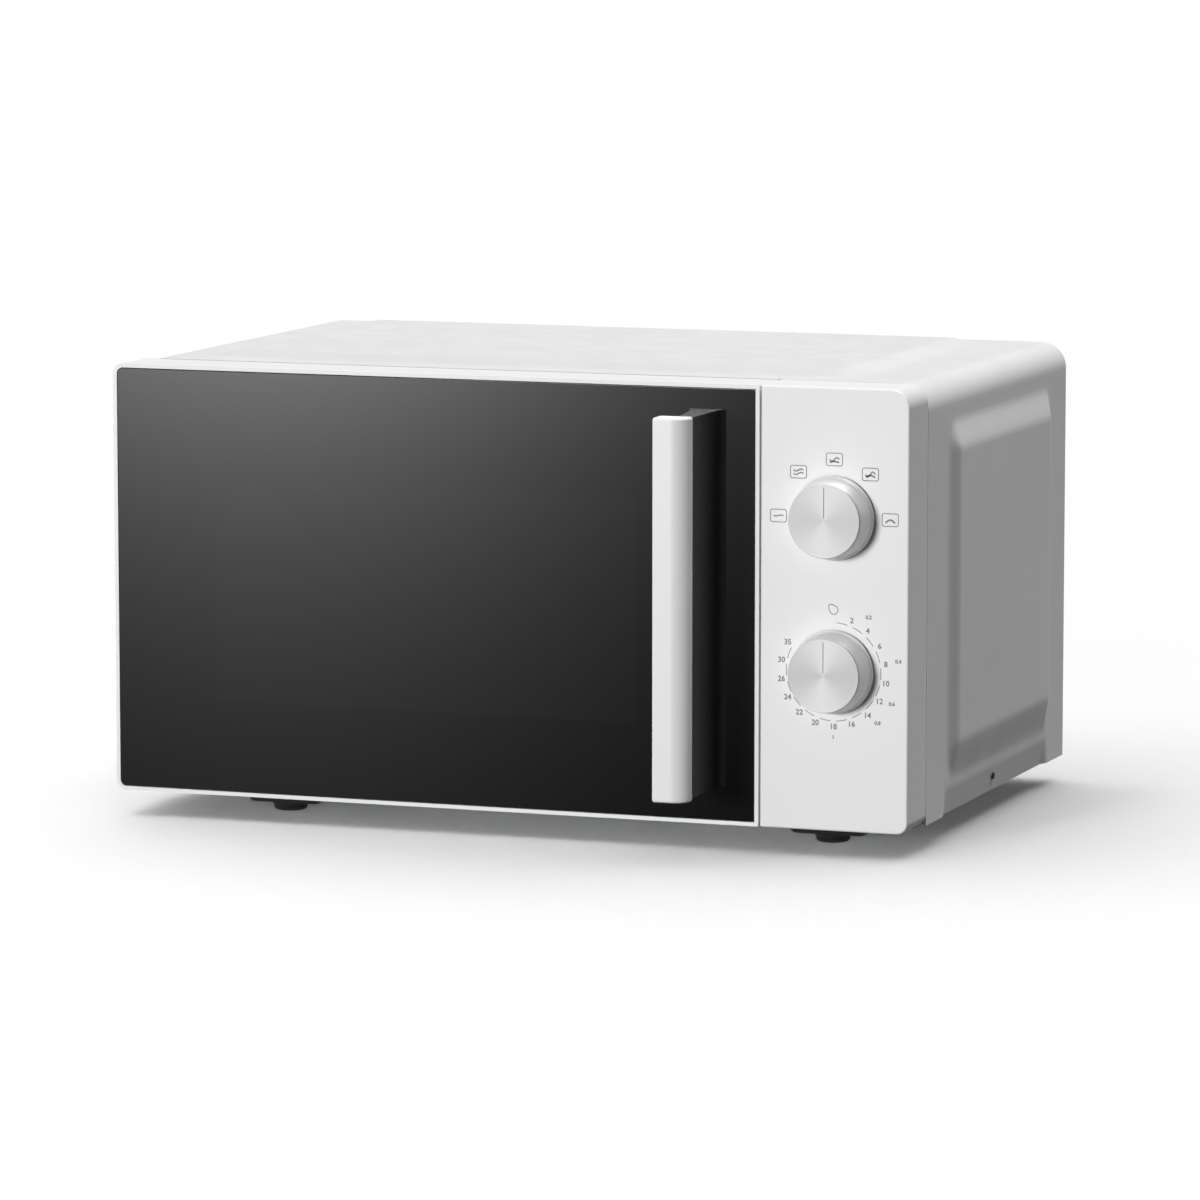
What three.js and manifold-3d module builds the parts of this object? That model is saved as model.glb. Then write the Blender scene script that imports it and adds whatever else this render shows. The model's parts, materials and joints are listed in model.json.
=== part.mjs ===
// Countertop microwave oven with a side-hinged glass door and two dials.
// Millimetres, +Z up. Pieces are laid out from the left end of the front face (x), from the front face
// towards the rear (y) and from the front face's bottom edge (z). The exported group then puts the
// origin at the middle of the footprint, on the surface that the feet stand on.

import * as THREE from "three";
import { ConvexGeometry } from "three/addons/geometries/ConvexGeometry.js";
import { mergeVertices } from "three/addons/utils/BufferGeometryUtils.js";
import Module from "manifold-3d";

// ---------------------------------------------------------------- driving dimensions

const WIDTH = 450;
const FACE_HEIGHT = 233;
const DEPTH = 295.3;
const FOOT_HEIGHT = 14;
const PANEL_WIDTH = 81;
const DOOR_THICKNESS = 32.5;
const DOOR_GAP = 0.8;
const SEAM = 0.6;
const GAP = 0.3;
const RUNNING_GAP = 0.2;

const SHEET = 1.2;
const COVER_CORNER = 14;
const PRESS_HEIGHT = 3.5;
const REAR_INSET = 3;

const CAVITY_LEFT = 20;
const CAVITY_FLOOR = 20;
const CAVITY_HEAD = 18;
const CAVITY_REAR_SPACE = 7;
const CAVITY_CORNER = 10;
const ELECTRICS_WIDTH = 118;

const GLASS_LIP = 2.2;
const GLASS_THICKNESS = 4;
const FRAME_WALL = 2.6;
const HINGE_INSET = 10;
const HINGE_PIN_RADIUS = 2;
const HINGE_ARM = 2.4;
const HINGE_FROM_END = 15;

const HANDLE_REACH = 57;
const HANDLE_WIDTH = 21.5;
const HANDLE_BAR_DEPTH = 12;
const HANDLE_FROM_DOOR_EDGE = 17.8;
const HANDLE_LOW = 19.4;
const HANDLE_FROM_TOP = 13;

const LATCH_TRAVEL = 4;
const LATCH_WIDTH = 6;
const LATCH_FROM_PANEL = 25;
const LATCH_LOW = 54;
const LATCH_HIGH_FROM_TOP = 61;
const LATCH_CLEARANCE = 2;

const KNOB_RADIUS = 22.2;
const KNOB_REACH = 18;
const KNOB_TO_RIGHT = 40.7;
const POWER_FROM_TOP = 68;
const KNOB_SPACING = 80.8;
const SHAFT_RADIUS = 3;
const PANEL_WALL = 3;

const TURNTABLE_CLEARANCE = 4.3;
const TURNTABLE_RIM = 10.9;
const ROLLER_RADIUS = 8;
const ROLLER_WIDTH = 6;
const ROLLER_INSET = 26;
const ROLLERS = 3;
const COUPLER_SHAFT = 3.5;

const MAGNETRON_SIZE = [54, 94, 80];
const WAVEGUIDE_SIZE = [28.5, 100, 70];
const ANTENNA_FLANGE = 15;
const FAN_RADIUS = 44;
const FAN_DEPTH = 14;
const FAN_FROM_REAR = 46;

// ---------------------------------------------------------------- what follows from them

const DOOR_WIDTH = WIDTH - PANEL_WIDTH - DOOR_GAP;
const PANEL_LEFT = WIDTH - PANEL_WIDTH;
const BODY_FRONT = DOOR_THICKNESS + SEAM;
const FRONT_PLATE_BACK = BODY_FRONT + SHEET;
const CAVITY_FRONT = FRONT_PLATE_BACK + GAP;
const CAVITY_BACK = DEPTH - CAVITY_REAR_SPACE;
const CAVITY_RIGHT = WIDTH - ELECTRICS_WIDTH;
const CAVITY_TOP = FACE_HEIGHT - CAVITY_HEAD;
const ELECTRICS_LEFT = CAVITY_RIGHT + SHEET + GAP;
const REAR_PLATE_BACK = DEPTH - REAR_INSET;
const REAR_PLATE_FRONT = REAR_PLATE_BACK - SHEET;
const BASE_TOP = GAP + SHEET;
const BASE_PRESSED = -PRESS_HEIGHT;
const BASE_WELL = BASE_PRESSED + SHEET + GAP;
const HINGE_Y = DOOR_THICKNESS - HINGE_INSET;
const HINGE_LEVELS = [HINGE_FROM_END, FACE_HEIGHT - HINGE_FROM_END - HINGE_ARM];
const LATCH_X = PANEL_LEFT - LATCH_FROM_PANEL;
const LATCH_LEVELS = [LATCH_LOW, FACE_HEIGHT - LATCH_HIGH_FROM_TOP];
const HANDLE_RIGHT = DOOR_WIDTH - HANDLE_FROM_DOOR_EDGE;
const HANDLE_TOP = FACE_HEIGHT - HANDLE_FROM_TOP;
const KNOB_X = WIDTH - KNOB_TO_RIGHT;
const POWER_Z = FACE_HEIGHT - POWER_FROM_TOP;
const TIMER_Z = POWER_Z - KNOB_SPACING;
const CAVITY_SPAN = Math.min(CAVITY_RIGHT - CAVITY_LEFT, CAVITY_BACK - CAVITY_FRONT);
const TURNTABLE_RADIUS = CAVITY_SPAN / 2 - TURNTABLE_CLEARANCE;
const TURNTABLE_X = (CAVITY_LEFT + CAVITY_RIGHT) / 2;
const TURNTABLE_Y = (CAVITY_FRONT + CAVITY_BACK) / 2;
const ROLLER_TRACK = TURNTABLE_RADIUS - ROLLER_INSET;
const ROLLER_AXIS = GAP + ROLLER_RADIUS;
const PLATE_BOTTOM = 2 * ROLLER_AXIS;
const ELECTRICS_X = (ELECTRICS_LEFT + WIDTH) / 2;
const FAN_FRONT = DEPTH - FAN_FROM_REAR;
const FAN_X = ELECTRICS_X;
const MAGNETRON_Z = FACE_HEIGHT - 78;
const MAGNETRON_BACK = FAN_FRONT - 12;
const WAVEGUIDE_Y = MAGNETRON_BACK - MAGNETRON_SIZE[1] / 2;
const WAVEGUIDE_RIGHT = ELECTRICS_LEFT + WAVEGUIDE_SIZE[0];

// ---------------------------------------------------------------- finishes

function finish(color, roughness, metalness = 0) {
  return new THREE.MeshStandardMaterial({ color, roughness, metalness });
}

const WHITE_PAINT = finish(0xe9e9e9, 0.45);
const WHITE_PLASTIC = finish(0xe4e4e4, 0.4);
const BLACK_PLASTIC = finish(0x0c0c0d, 0.4);
const BLACK_GLASS = finish(0x141414, 0.05);
const CLEAR_GLASS = finish(0xcfdcda, 0.05);
const CLEAR_FILM = finish(0xb9c0c2, 0.2);
const SILVER = finish(0xc9c9cb, 0.25, 0.9);
const STEEL = finish(0x9a9da0, 0.4, 0.8);
const ZINC = finish(0xb4b7ba, 0.45, 0.7);
const CAVITY_PAINT = finish(0xc9ccce, 0.5);
const BASE_PAINT = finish(0x1a1a1b, 0.6);
const RUBBER = finish(0x101010, 0.85);
const MICA = finish(0xb9aa90, 0.6);
const COPPER = finish(0xa35a34, 0.45, 0.7);
const ENAMELLED_WIRE = finish(0x7d3a22, 0.45, 0.5);
const LAMINATION = finish(0x54565a, 0.5, 0.6);
const ALUMINIUM = finish(0xc4c6c8, 0.35, 0.85);
const BOARD = finish(0x2f6b3c, 0.6);
const CREAM_PLASTIC = finish(0xd9d3bf, 0.5);
const GREY_PLASTIC = finish(0x8b8d8f, 0.5);

// ---------------------------------------------------------------- shape helpers

const wasm = await Module();
wasm.setup();

// The closed solid of a three.js geometry.
function solid(geometry) {
  const bare = geometry.clone();
  bare.deleteAttribute("normal");
  bare.deleteAttribute("uv");
  const merged = mergeVertices(bare, 1e-4);
  const made = new wasm.Manifold(
    new wasm.Mesh({
      numProp: 3,
      vertProperties: merged.attributes.position.array,
      triVerts: new Uint32Array(merged.index.array),
    }),
  );
  return made;
}

const join = (first, ...others) => others.reduce((sum, next) => sum.add(next), first);
const cut = (from, ...tools) => tools.reduce((rest, tool) => rest.subtract(tool), from);

// A mesh made of a solid, at a place and turned about X, Y and Z.
function piece(name, made, material, at = [0, 0, 0], turn = [0, 0, 0]) {
  const { vertProperties, triVerts } = made.getMesh();
  const geometry = new THREE.BufferGeometry();
  geometry.setAttribute("position", new THREE.BufferAttribute(new Float32Array(vertProperties), 3));
  geometry.setIndex(new THREE.BufferAttribute(new Uint32Array(triVerts), 1));
  geometry.computeVertexNormals();
  const mesh = new THREE.Mesh(geometry, material);
  mesh.name = name;
  mesh.position.set(...at);
  mesh.rotation.set(...turn);
  return mesh;
}

function group(at, ...children) {
  const made = new THREE.Group();
  made.position.set(...at);
  made.add(...children);
  return made;
}

function block(x0, x1, y0, y1, z0, z1) {
  const geometry = new THREE.BoxGeometry(x1 - x0, y1 - y0, z1 - z0);
  geometry.translate((x0 + x1) / 2, (y0 + y1) / 2, (z0 + z1) / 2);
  return solid(geometry);
}

// A block of a size, centred on a point.
function brick([width, depth, height], [x, y, z] = [0, 0, 0]) {
  return block(x - width / 2, x + width / 2, y - depth / 2, y + depth / 2, z - height / 2, z + height / 2);
}

const AXIS_TURN = { x: [0, 0, -Math.PI / 2], y: [0, 0, 0], z: [Math.PI / 2, 0, 0] };

// A round bar that starts at a point and runs along +x, +y or +z.
function rod(radius, length, axis, [x, y, z], segments = 20) {
  const geometry = new THREE.CylinderGeometry(radius, radius, length, segments);
  geometry.translate(0, length / 2, 0);
  geometry.rotateZ(AXIS_TURN[axis][2]);
  geometry.rotateX(AXIS_TURN[axis][0]);
  geometry.translate(x, y, z);
  return solid(geometry);
}

// A solid turned about Z from a profile of (radius, height) points, closed on the axis or on itself.
function turned(profile, segments = 40) {
  const spin = (points) => solid(new THREE.LatheGeometry(points, segments).rotateX(Math.PI / 2));
  const points = profile.map(([r, z]) => new THREE.Vector2(r, z));
  const made = spin(points);
  return made.volume() > 0 ? made : spin(points.reverse());
}

// A flat outline with its corners rounded: radii are bottom left, bottom right, top right, top left.
function outline(u0, u1, v0, v1, radii = [0, 0, 0, 0]) {
  const [a, b, c, d] = radii;
  const shape = new THREE.Shape();
  shape.moveTo(u0 + a, v0);
  shape.lineTo(u1 - b, v0);
  if (b) shape.absarc(u1 - b, v0 + b, b, -Math.PI / 2, 0);
  shape.lineTo(u1, v1 - c);
  if (c) shape.absarc(u1 - c, v1 - c, c, 0, Math.PI / 2);
  shape.lineTo(u0 + d, v1);
  if (d) shape.absarc(u0 + d, v1 - d, d, Math.PI / 2, Math.PI);
  shape.lineTo(u0, v0 + a);
  if (a) shape.absarc(u0 + a, v0 + a, a, Math.PI, Math.PI * 1.5);
  return shape;
}

const evenly = (radius) => [radius, radius, radius, radius];

function extruded(shape, depth, segments) {
  return new THREE.ExtrudeGeometry(shape, { depth, bevelEnabled: false, curveSegments: segments });
}

// Outlines drawn in the XZ, XY and YZ planes, given a thickness along the third axis.
function alongY(shape, y0, y1, segments = 6) {
  return solid(extruded(shape, y1 - y0, segments).rotateX(Math.PI / 2).translate(0, y1, 0));
}

function alongZ(shape, z0, z1, segments = 6) {
  return solid(extruded(shape, z1 - z0, segments).translate(0, 0, z0));
}

function alongX(shape, x0, x1, segments = 6) {
  const turn = new THREE.Matrix4().makeBasis(
    new THREE.Vector3(0, 1, 0),
    new THREE.Vector3(0, 0, 1),
    new THREE.Vector3(1, 0, 0),
  );
  return solid(extruded(shape, x1 - x0, segments).applyMatrix4(turn).translate(x0, 0, 0));
}

const shapeOf = (points) => new THREE.Shape(points.map(([u, v]) => new THREE.Vector2(u, v)));

// The points round a rounded rectangle {u0, u1, v0, v1, r}.
function ringOf({ u0, u1, v0, v1, r }) {
  return outline(u0, u1, v0, v1, evenly(r)).getPoints(2);
}

// A shallow pressing: the convex solid between where it leaves the sheet and its raised flat.
// place(u, v, height) says where a point of it lies; it is rooted below the sheet's own surface.
function pressing(foot, flat, rise, place) {
  const level = (ring, height) => ringOf(ring).map(({ x, y }) => place(x, y, height));
  const points = [...level(foot, -2 * SHEET), ...level(foot, 0), ...level(flat, rise)];
  return solid(new ConvexGeometry(points));
}

// ---------------------------------------------------------------- cabinet shell

// The wrapper's arch-shaped section, grown inwards by inset.
function arch(inset, bottom) {
  const r = COVER_CORNER - inset;
  return outline(inset, WIDTH - inset, bottom, FACE_HEIGHT - inset, [0, 0, r, r]);
}

// The raised panels pressed into the sheet: where each leaves it, and the flat on top of it.
const SIDE_PANEL = { front: 71, fromRear: 33.3, low: 15, fromTop: 23 };
const SIDE_FOOT = {
  u0: SIDE_PANEL.front,
  u1: DEPTH - SIDE_PANEL.fromRear,
  v0: SIDE_PANEL.low,
  v1: FACE_HEIGHT - SIDE_PANEL.fromTop,
  r: 22,
};
const SIDE_FLAT = {
  u0: SIDE_FOOT.u0 + 11,
  u1: SIDE_FOOT.u1 - 8,
  v0: SIDE_FOOT.v0 + 25,
  v1: SIDE_FOOT.v1 - 15,
  r: 10,
};
const TOP_FOOT = { u0: COVER_CORNER, u1: WIDTH - 33, v0: 62, v1: DEPTH - 15, r: 24 };
const TOP_FLAT = {
  u0: TOP_FOOT.u0 + 12,
  u1: TOP_FOOT.u1 - 14,
  v0: TOP_FOOT.v0 + 11,
  v1: TOP_FOOT.v1 - 12,
  r: 12,
};
const FLANGE_TAPER = 2;

// One painted sheet bent over the top and down both sides, with a raised panel pressed into each face
// and the sides' lower edges tapered inwards.
function outerCover() {
  const layer = (inset) => {
    const right = (u, v, h) => new THREE.Vector3(WIDTH - inset + h, u, v);
    const left = (u, v, h) => new THREE.Vector3(inset - h, u, v);
    const top = (u, v, h) => new THREE.Vector3(u, v, FACE_HEIGHT - inset + h);
    const over = inset ? 1 : 0;
    const body = alongY(arch(inset, -over), BODY_FRONT - over, DEPTH + over, 5);
    const pressed = join(
      body,
      pressing(SIDE_FOOT, SIDE_FLAT, PRESS_HEIGHT, right),
      pressing(SIDE_FOOT, SIDE_FLAT, PRESS_HEIGHT, left),
      pressing(TOP_FOOT, TOP_FLAT, PRESS_HEIGHT, top),
    );
    const wedge = (x, out) => {
      const points = [
        [x, SIDE_PANEL.low],
        [x + out * 9, SIDE_PANEL.low],
        [x + out * 9, -2],
        [x - out * FLANGE_TAPER, -2],
      ];
      return alongY(shapeOf(out > 0 ? points.reverse() : points), SIDE_PANEL.front - 7, SIDE_FOOT.u1);
    };
    return cut(pressed, wedge(WIDTH - inset, 1), wedge(inset, -1));
  };
  return piece("outer_cover", cut(layer(0), layer(SHEET)), WHITE_PAINT);
}

// Cutters for a grid of upright vent slots through the rear plate.
function slotGrid(x, z, columns, rows, [width, height], [pitchX, pitchZ]) {
  return Array.from({ length: columns * rows }, (_, i) => {
    const u = x + ((i % columns) - (columns - 1) / 2) * pitchX;
    const v = z + (Math.floor(i / columns) - (rows - 1) / 2) * pitchZ;
    return brick([width, 4 * SHEET, height], [u, REAR_PLATE_FRONT, v]);
  });
}

const GLAND_RADIUS = 6;
const GLAND_FROM_RIGHT = 34;
const GLAND_Z = 26;

function rearPlate() {
  const sheet = alongY(arch(SHEET + GAP, BASE_TOP + GAP), REAR_PLATE_FRONT, REAR_PLATE_BACK, 5);
  const slots = [
    ...slotGrid(FAN_X, MAGNETRON_Z, 7, 2, [5, 36], [12, 42]),
    ...slotGrid(CAVITY_LEFT + 70, FACE_HEIGHT - 40, 6, 1, [5, 22], [12, 30]),
  ];
  const at = [WIDTH - GLAND_FROM_RIGHT, REAR_PLATE_FRONT - SHEET, GLAND_Z];
  const hole = rod(GLAND_RADIUS, 4 * SHEET, "y", at);
  return piece("rear_plate", cut(sheet, hole, ...slots), ZINC);
}

// The bush that a supply lead would pass through; its flanges grip both faces of the rear plate.
function cordGland() {
  const bore = 3.8;
  const neck = GLAND_RADIUS - GAP;
  const profile = [
    [bore, -5],
    [neck + 2, -5],
    [neck + 2, -SHEET - GAP],
    [neck, -SHEET - GAP],
    [neck, GAP],
    [neck + 4, GAP],
    [neck + 3.2, REAR_INSET - GAP],
    [bore, REAR_INSET - GAP],
    [bore, -5],
  ];
  const at = [WIDTH - GLAND_FROM_RIGHT, REAR_PLATE_BACK, GLAND_Z];
  return piece("cord_gland", turned(profile, 16), BLACK_PLASTIC, at, [-Math.PI / 2, 0, 0]);
}

// ---------------------------------------------------------------- base and feet

const CUP_DEPTH = 9;
const CUP_LENGTH = 32;
const FRONT_FEET_Y = BODY_FRONT + SHEET + 2 * GAP + CUP_LENGTH / 2 + 0.5;
const FOOT_CENTRES = {
  foot_front_left: [81, FRONT_FEET_Y],
  foot_front_right: [WIDTH - 57, FRONT_FEET_Y],
  foot_rear_left: [81, DEPTH - 48],
  foot_rear_right: [WIDTH - 57, DEPTH - 48],
};
const MIDDLE_BUMP = [WIDTH - 136, FRONT_FEET_Y];

// A pressed steel tray: a floor lowered as far as behind the capacitor, a cup above each foot and a
// stiffening bump near the middle.
function basePlate() {
  const margin = SHEET + GAP + 2;
  const wellBack = CAPACITOR_FRONT + CAPACITOR.depth + 19;
  const floorFlat = { u0: 10, u1: WIDTH - 10, v0: BODY_FRONT + 7, v1: wellBack, r: 5 };
  const floorFoot = { u0: 6, u1: WIDTH - 6, v0: BODY_FRONT + 3, v1: wellBack + 5, r: 8 };
  const cup = ([x, y], width, depth) => [
    { u0: x - width / 2, u1: x + width / 2, v0: y - depth / 2, v1: y + depth / 2, r: 8 },
    { u0: x - width / 2 + 9, u1: x + width / 2 - 9, v0: y - depth / 2 + 5, v1: y + depth / 2 - 5, r: 4 },
  ];
  const layer = (lift) => {
    const under = (u, v, h) => new THREE.Vector3(u, v, GAP + lift - h);
    const cups = Object.values(FOOT_CENTRES).map((at) =>
      pressing(...cup(at, 58, CUP_LENGTH), CUP_DEPTH + GAP, under),
    );
    return join(
      pressing(floorFoot, floorFlat, PRESS_HEIGHT + GAP, under),
      ...cups,
      pressing(...cup(MIDDLE_BUMP, 46, CUP_LENGTH), CUP_DEPTH - 1.5, under),
    );
  };
  const front = FRONT_PLATE_BACK + GAP;
  const flat = block(margin, WIDTH - margin, front, REAR_PLATE_FRONT - GAP, GAP, BASE_TOP);
  const flatTrim = block(0, WIDTH, front - 9, REAR_PLATE_FRONT, BASE_TOP, 12);
  return piece("base_plate", cut(join(flat, cut(layer(0), flatTrim)), layer(SHEET)), BASE_PAINT);
}

function foot(name, [x, y]) {
  const top = -CUP_DEPTH - GAP;
  const profile = [
    [0, -FOOT_HEIGHT],
    [8, -FOOT_HEIGHT],
    [9, -FOOT_HEIGHT + 1],
    [10, top],
    [0, top],
  ];
  return piece(name, turned(profile, 16), RUBBER, [x, y, 0]);
}

// ---------------------------------------------------------------- cooking compartment

const LATCH_HOOK_HEIGHT = 12;
const LATCH_HOOK_REACH = 15;
const LATCH_BAR_Y = 14;
const LATCH_BAR_TAIL = 6;

// Cutters for the slots that the latch hooks pass and slide in, through the door's back and the chassis.
function latchSlots() {
  const left = LATCH_X - LATCH_CLEARANCE;
  const right = LATCH_X + LATCH_WIDTH + LATCH_CLEARANCE;
  const tall = LATCH_HOOK_HEIGHT + LATCH_TRAVEL + LATCH_CLEARANCE;
  return LATCH_LEVELS.map((z) =>
    block(left, right, DOOR_SHEET_Y - 1, FRONT_PLATE_BACK + 1, z - LATCH_CLEARANCE, z + tall),
  );
}

const WINDOW_SIZE = [64, 44];

function ovenCavity() {
  const outer = outline(
    CAVITY_LEFT - SHEET,
    CAVITY_RIGHT + SHEET,
    CAVITY_FLOOR - SHEET,
    CAVITY_TOP + SHEET,
    evenly(CAVITY_CORNER + SHEET),
  );
  const inner = outline(CAVITY_LEFT, CAVITY_RIGHT, CAVITY_FLOOR, CAVITY_TOP, evenly(CAVITY_CORNER));
  const shell = alongY(outer, CAVITY_FRONT, CAVITY_BACK + SHEET, 4);
  const room = alongY(inner, CAVITY_FRONT - 1, CAVITY_BACK, 4);
  const underfloor = [TURNTABLE_X, TURNTABLE_Y, CAVITY_FLOOR - 2 * SHEET];
  const drive = rod(COUPLER_SHAFT + 2.5, 4 * SHEET, "z", underfloor);
  const [width, height] = WINDOW_SIZE;
  const feed = block(
    CAVITY_RIGHT - 1,
    CAVITY_RIGHT + 2 * SHEET,
    WAVEGUIDE_Y - width / 2,
    WAVEGUIDE_Y + width / 2,
    MAGNETRON_Z - height / 2,
    MAGNETRON_Z + height / 2,
  );
  return piece("oven_cavity", cut(shell, room, drive, feed), CAVITY_PAINT);
}

// The chassis front: it frames the cavity's mouth and carries the latch slots and the dial opening.
function cavityFrontPlate() {
  const sheet = alongY(arch(SHEET + GAP, BASE_TOP + GAP), BODY_FRONT, FRONT_PLATE_BACK, 4);
  const mouth = outline(CAVITY_LEFT, CAVITY_RIGHT, CAVITY_FLOOR, CAVITY_TOP, evenly(CAVITY_CORNER));
  const dials = outline(PANEL_LEFT + 8, WIDTH - 8, 22, FACE_HEIGHT - 20, evenly(4));
  const openings = [mouth, dials].map((shape) => alongY(shape, BODY_FRONT - 1, FRONT_PLATE_BACK + 1, 4));
  return piece("cavity_front_plate", cut(sheet, ...openings, ...latchSlots()), CAVITY_PAINT);
}

function waveguide() {
  const [width, depth, height] = WAVEGUIDE_SIZE;
  const middle = ELECTRICS_LEFT + width / 2;
  const outside = brick([width, depth, height], [middle, WAVEGUIDE_Y, MAGNETRON_Z]);
  const room = [width, depth - 2 * SHEET, height - 2 * SHEET];
  const inside = brick(room, [middle - SHEET, WAVEGUIDE_Y, MAGNETRON_Z]);
  const through = [WAVEGUIDE_RIGHT - 2 * SHEET, WAVEGUIDE_Y, MAGNETRON_Z];
  const port = rod(ANTENNA_FLANGE + 1, 4 * SHEET, "x", through, 24);
  return piece("waveguide", cut(outside, inside, port), ZINC);
}

function waveguideCover() {
  const [width, height] = WINDOW_SIZE;
  const overlap = 9;
  const shape = outline(
    -width / 2 - overlap,
    width / 2 + overlap,
    -height / 2 - overlap,
    height / 2 + overlap,
    evenly(3),
  );
  const at = [CAVITY_RIGHT, WAVEGUIDE_Y, MAGNETRON_Z];
  return piece("waveguide_cover", alongX(shape, -GAP - 0.8, -GAP, 3), MICA, at);
}

// ---------------------------------------------------------------- turntable

function turntableMotor() {
  const radius = 24.5;
  const top = CAVITY_FLOOR - SHEET - GAP;
  const low = BASE_WELL + 2;
  const can = rod(radius, top - low, "z", [0, 0, low], 32);
  const ears = block(-radius - 8, radius + 8, -6, 6, top - 1.6, top);
  const bore = rod(COUPLER_SHAFT + GAP, 12, "z", [0, 0, top - 8]);
  return piece("turntable_motor", cut(join(can, ears), bore), ZINC, [TURNTABLE_X, TURNTABLE_Y, 0]);
}

// A shaft with a three-lobed head; heights are from the cavity floor.
function turntableCoupler() {
  const head = 3;
  const top = PLATE_BOTTOM - 2.5;
  const lobes = Array.from({ length: 3 }, (_, i) => {
    const lobe = new THREE.BoxGeometry(16, 8, top - head).translate(8, 0, (head + top) / 2);
    return solid(lobe.rotateZ((i * 2 * Math.PI) / 3));
  });
  const shaft = rod(COUPLER_SHAFT, 6 + head, "z", [0, 0, -6]);
  const hub = rod(9, top - head, "z", [0, 0, head], 24);
  return piece("turntable_coupler", join(shaft, hub, ...lobes), CREAM_PLASTIC);
}

function glassTurntable() {
  const R = TURNTABLE_RADIUS;
  const profile = [
    [0, 0],
    [R - 17, 0],
    [R - 10, 1.6],
    [R - 1.6, 7.6],
    [R, 9],
    [R - 0.4, TURNTABLE_RIM - 0.4],
    [R - 1.8, TURNTABLE_RIM],
    [R - 3, TURNTABLE_RIM - 0.8],
    [R - 11.5, 5],
    [R - 18, 4],
    [0, 4],
  ];
  const lugs = Array.from({ length: 3 }, (_, i) => {
    const lug = new THREE.BoxGeometry(9, 7, 6).translate(16, 0, -2.5);
    return solid(lug.rotateZ(((i * 2 + 1) * Math.PI) / 3));
  });
  return piece("glass_turntable", join(turned(profile, 48), ...lugs), CLEAR_GLASS, [0, 0, PLATE_BOTTOM]);
}

// A flat ring with a stub axle for each roller.
function rollerRing() {
  const outer = ROLLER_TRACK - ROLLER_WIDTH / 2 - 1.5;
  const inner = outer - 8;
  const z0 = ROLLER_AXIS - 3;
  const z1 = ROLLER_AXIS + 3;
  const ring = turned(
    [
      [inner, z0],
      [outer, z0],
      [outer, z1],
      [inner, z1],
      [inner, z0],
    ],
    36,
  );
  const stubs = Array.from({ length: ROLLERS }, (_, i) => {
    const reach = ROLLER_TRACK + ROLLER_WIDTH / 2 + 1 - (outer - 1);
    const stub = new THREE.CylinderGeometry(2, 2, reach, 12);
    const head = new THREE.CylinderGeometry(3.2, 3.2, 1.6, 12);
    const lay = (geometry, along) =>
      solid(
        geometry
          .rotateZ(-Math.PI / 2)
          .translate(along, 0, ROLLER_AXIS)
          .rotateZ(rollerAngle(i)),
      );
    return join(lay(stub, outer - 1 + reach / 2), lay(head, outer - 1 + reach + 0.6));
  });
  return piece("roller_ring", join(ring, ...stubs), GREY_PLASTIC);
}

function rollerAngle(i) {
  return Math.PI / 2 + (i * 2 * Math.PI) / ROLLERS;
}

function roller(i) {
  const half = ROLLER_WIDTH / 2;
  const bore = 2 + RUNNING_GAP;
  const profile = [
    [bore, -half],
    [ROLLER_RADIUS - 0.6, -half],
    [ROLLER_RADIUS, -half + 0.6],
    [ROLLER_RADIUS, half - 0.6],
    [ROLLER_RADIUS - 0.6, half],
    [bore, half],
    [bore, -half],
  ];
  const angle = rollerAngle(i);
  const at = [ROLLER_TRACK * Math.cos(angle), ROLLER_TRACK * Math.sin(angle), ROLLER_AXIS];
  const mesh = piece(`roller_${i + 1}`, turned(profile, 18), GREY_PLASTIC, at);
  mesh.rotation.set(0, Math.PI / 2, angle, "ZYX");
  return mesh;
}

function turntable() {
  const rollers = Array.from({ length: ROLLERS }, (_, i) => roller(i));
  const at = [TURNTABLE_X, TURNTABLE_Y, CAVITY_FLOOR];
  return group(at, turntableCoupler(), glassTurntable(), rollerRing(), ...rollers);
}

// ---------------------------------------------------------------- door

const DOOR_SHEET_Y = DOOR_THICKNESS - 5.3;
const DOOR_TOP_GAP = 0.1;
const WINDOW_SHEET = 1.2;
const CHOKE_OPENING = [45, DOOR_WIDTH - 53, 32, FACE_HEIGHT - 30];

// The door's plan: its rear left corner is rounded about the hinge axis, so it clears the cabinet.
function doorPlan(inset, front) {
  const back = DOOR_THICKNESS - (inset ? -1 : 0);
  const radius = HINGE_INSET - inset;
  const shape = new THREE.Shape();
  shape.moveTo(inset, front);
  shape.lineTo(DOOR_WIDTH - inset, front);
  shape.lineTo(DOOR_WIDTH - inset, back);
  if (inset) shape.lineTo(HINGE_INSET, back);
  shape.lineTo(HINGE_INSET, HINGE_Y + radius);
  shape.absarc(HINGE_INSET, HINGE_Y, radius, Math.PI / 2, Math.PI);
  return shape;
}

function doorFace(inset) {
  const left = Math.max(5.7 - inset, 0.5);
  const right = Math.max(1 - inset, 0.2);
  const top = FACE_HEIGHT - DOOR_TOP_GAP - inset;
  return outline(inset, DOOR_WIDTH - inset, inset, top, [left, right, right, left]);
}

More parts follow.
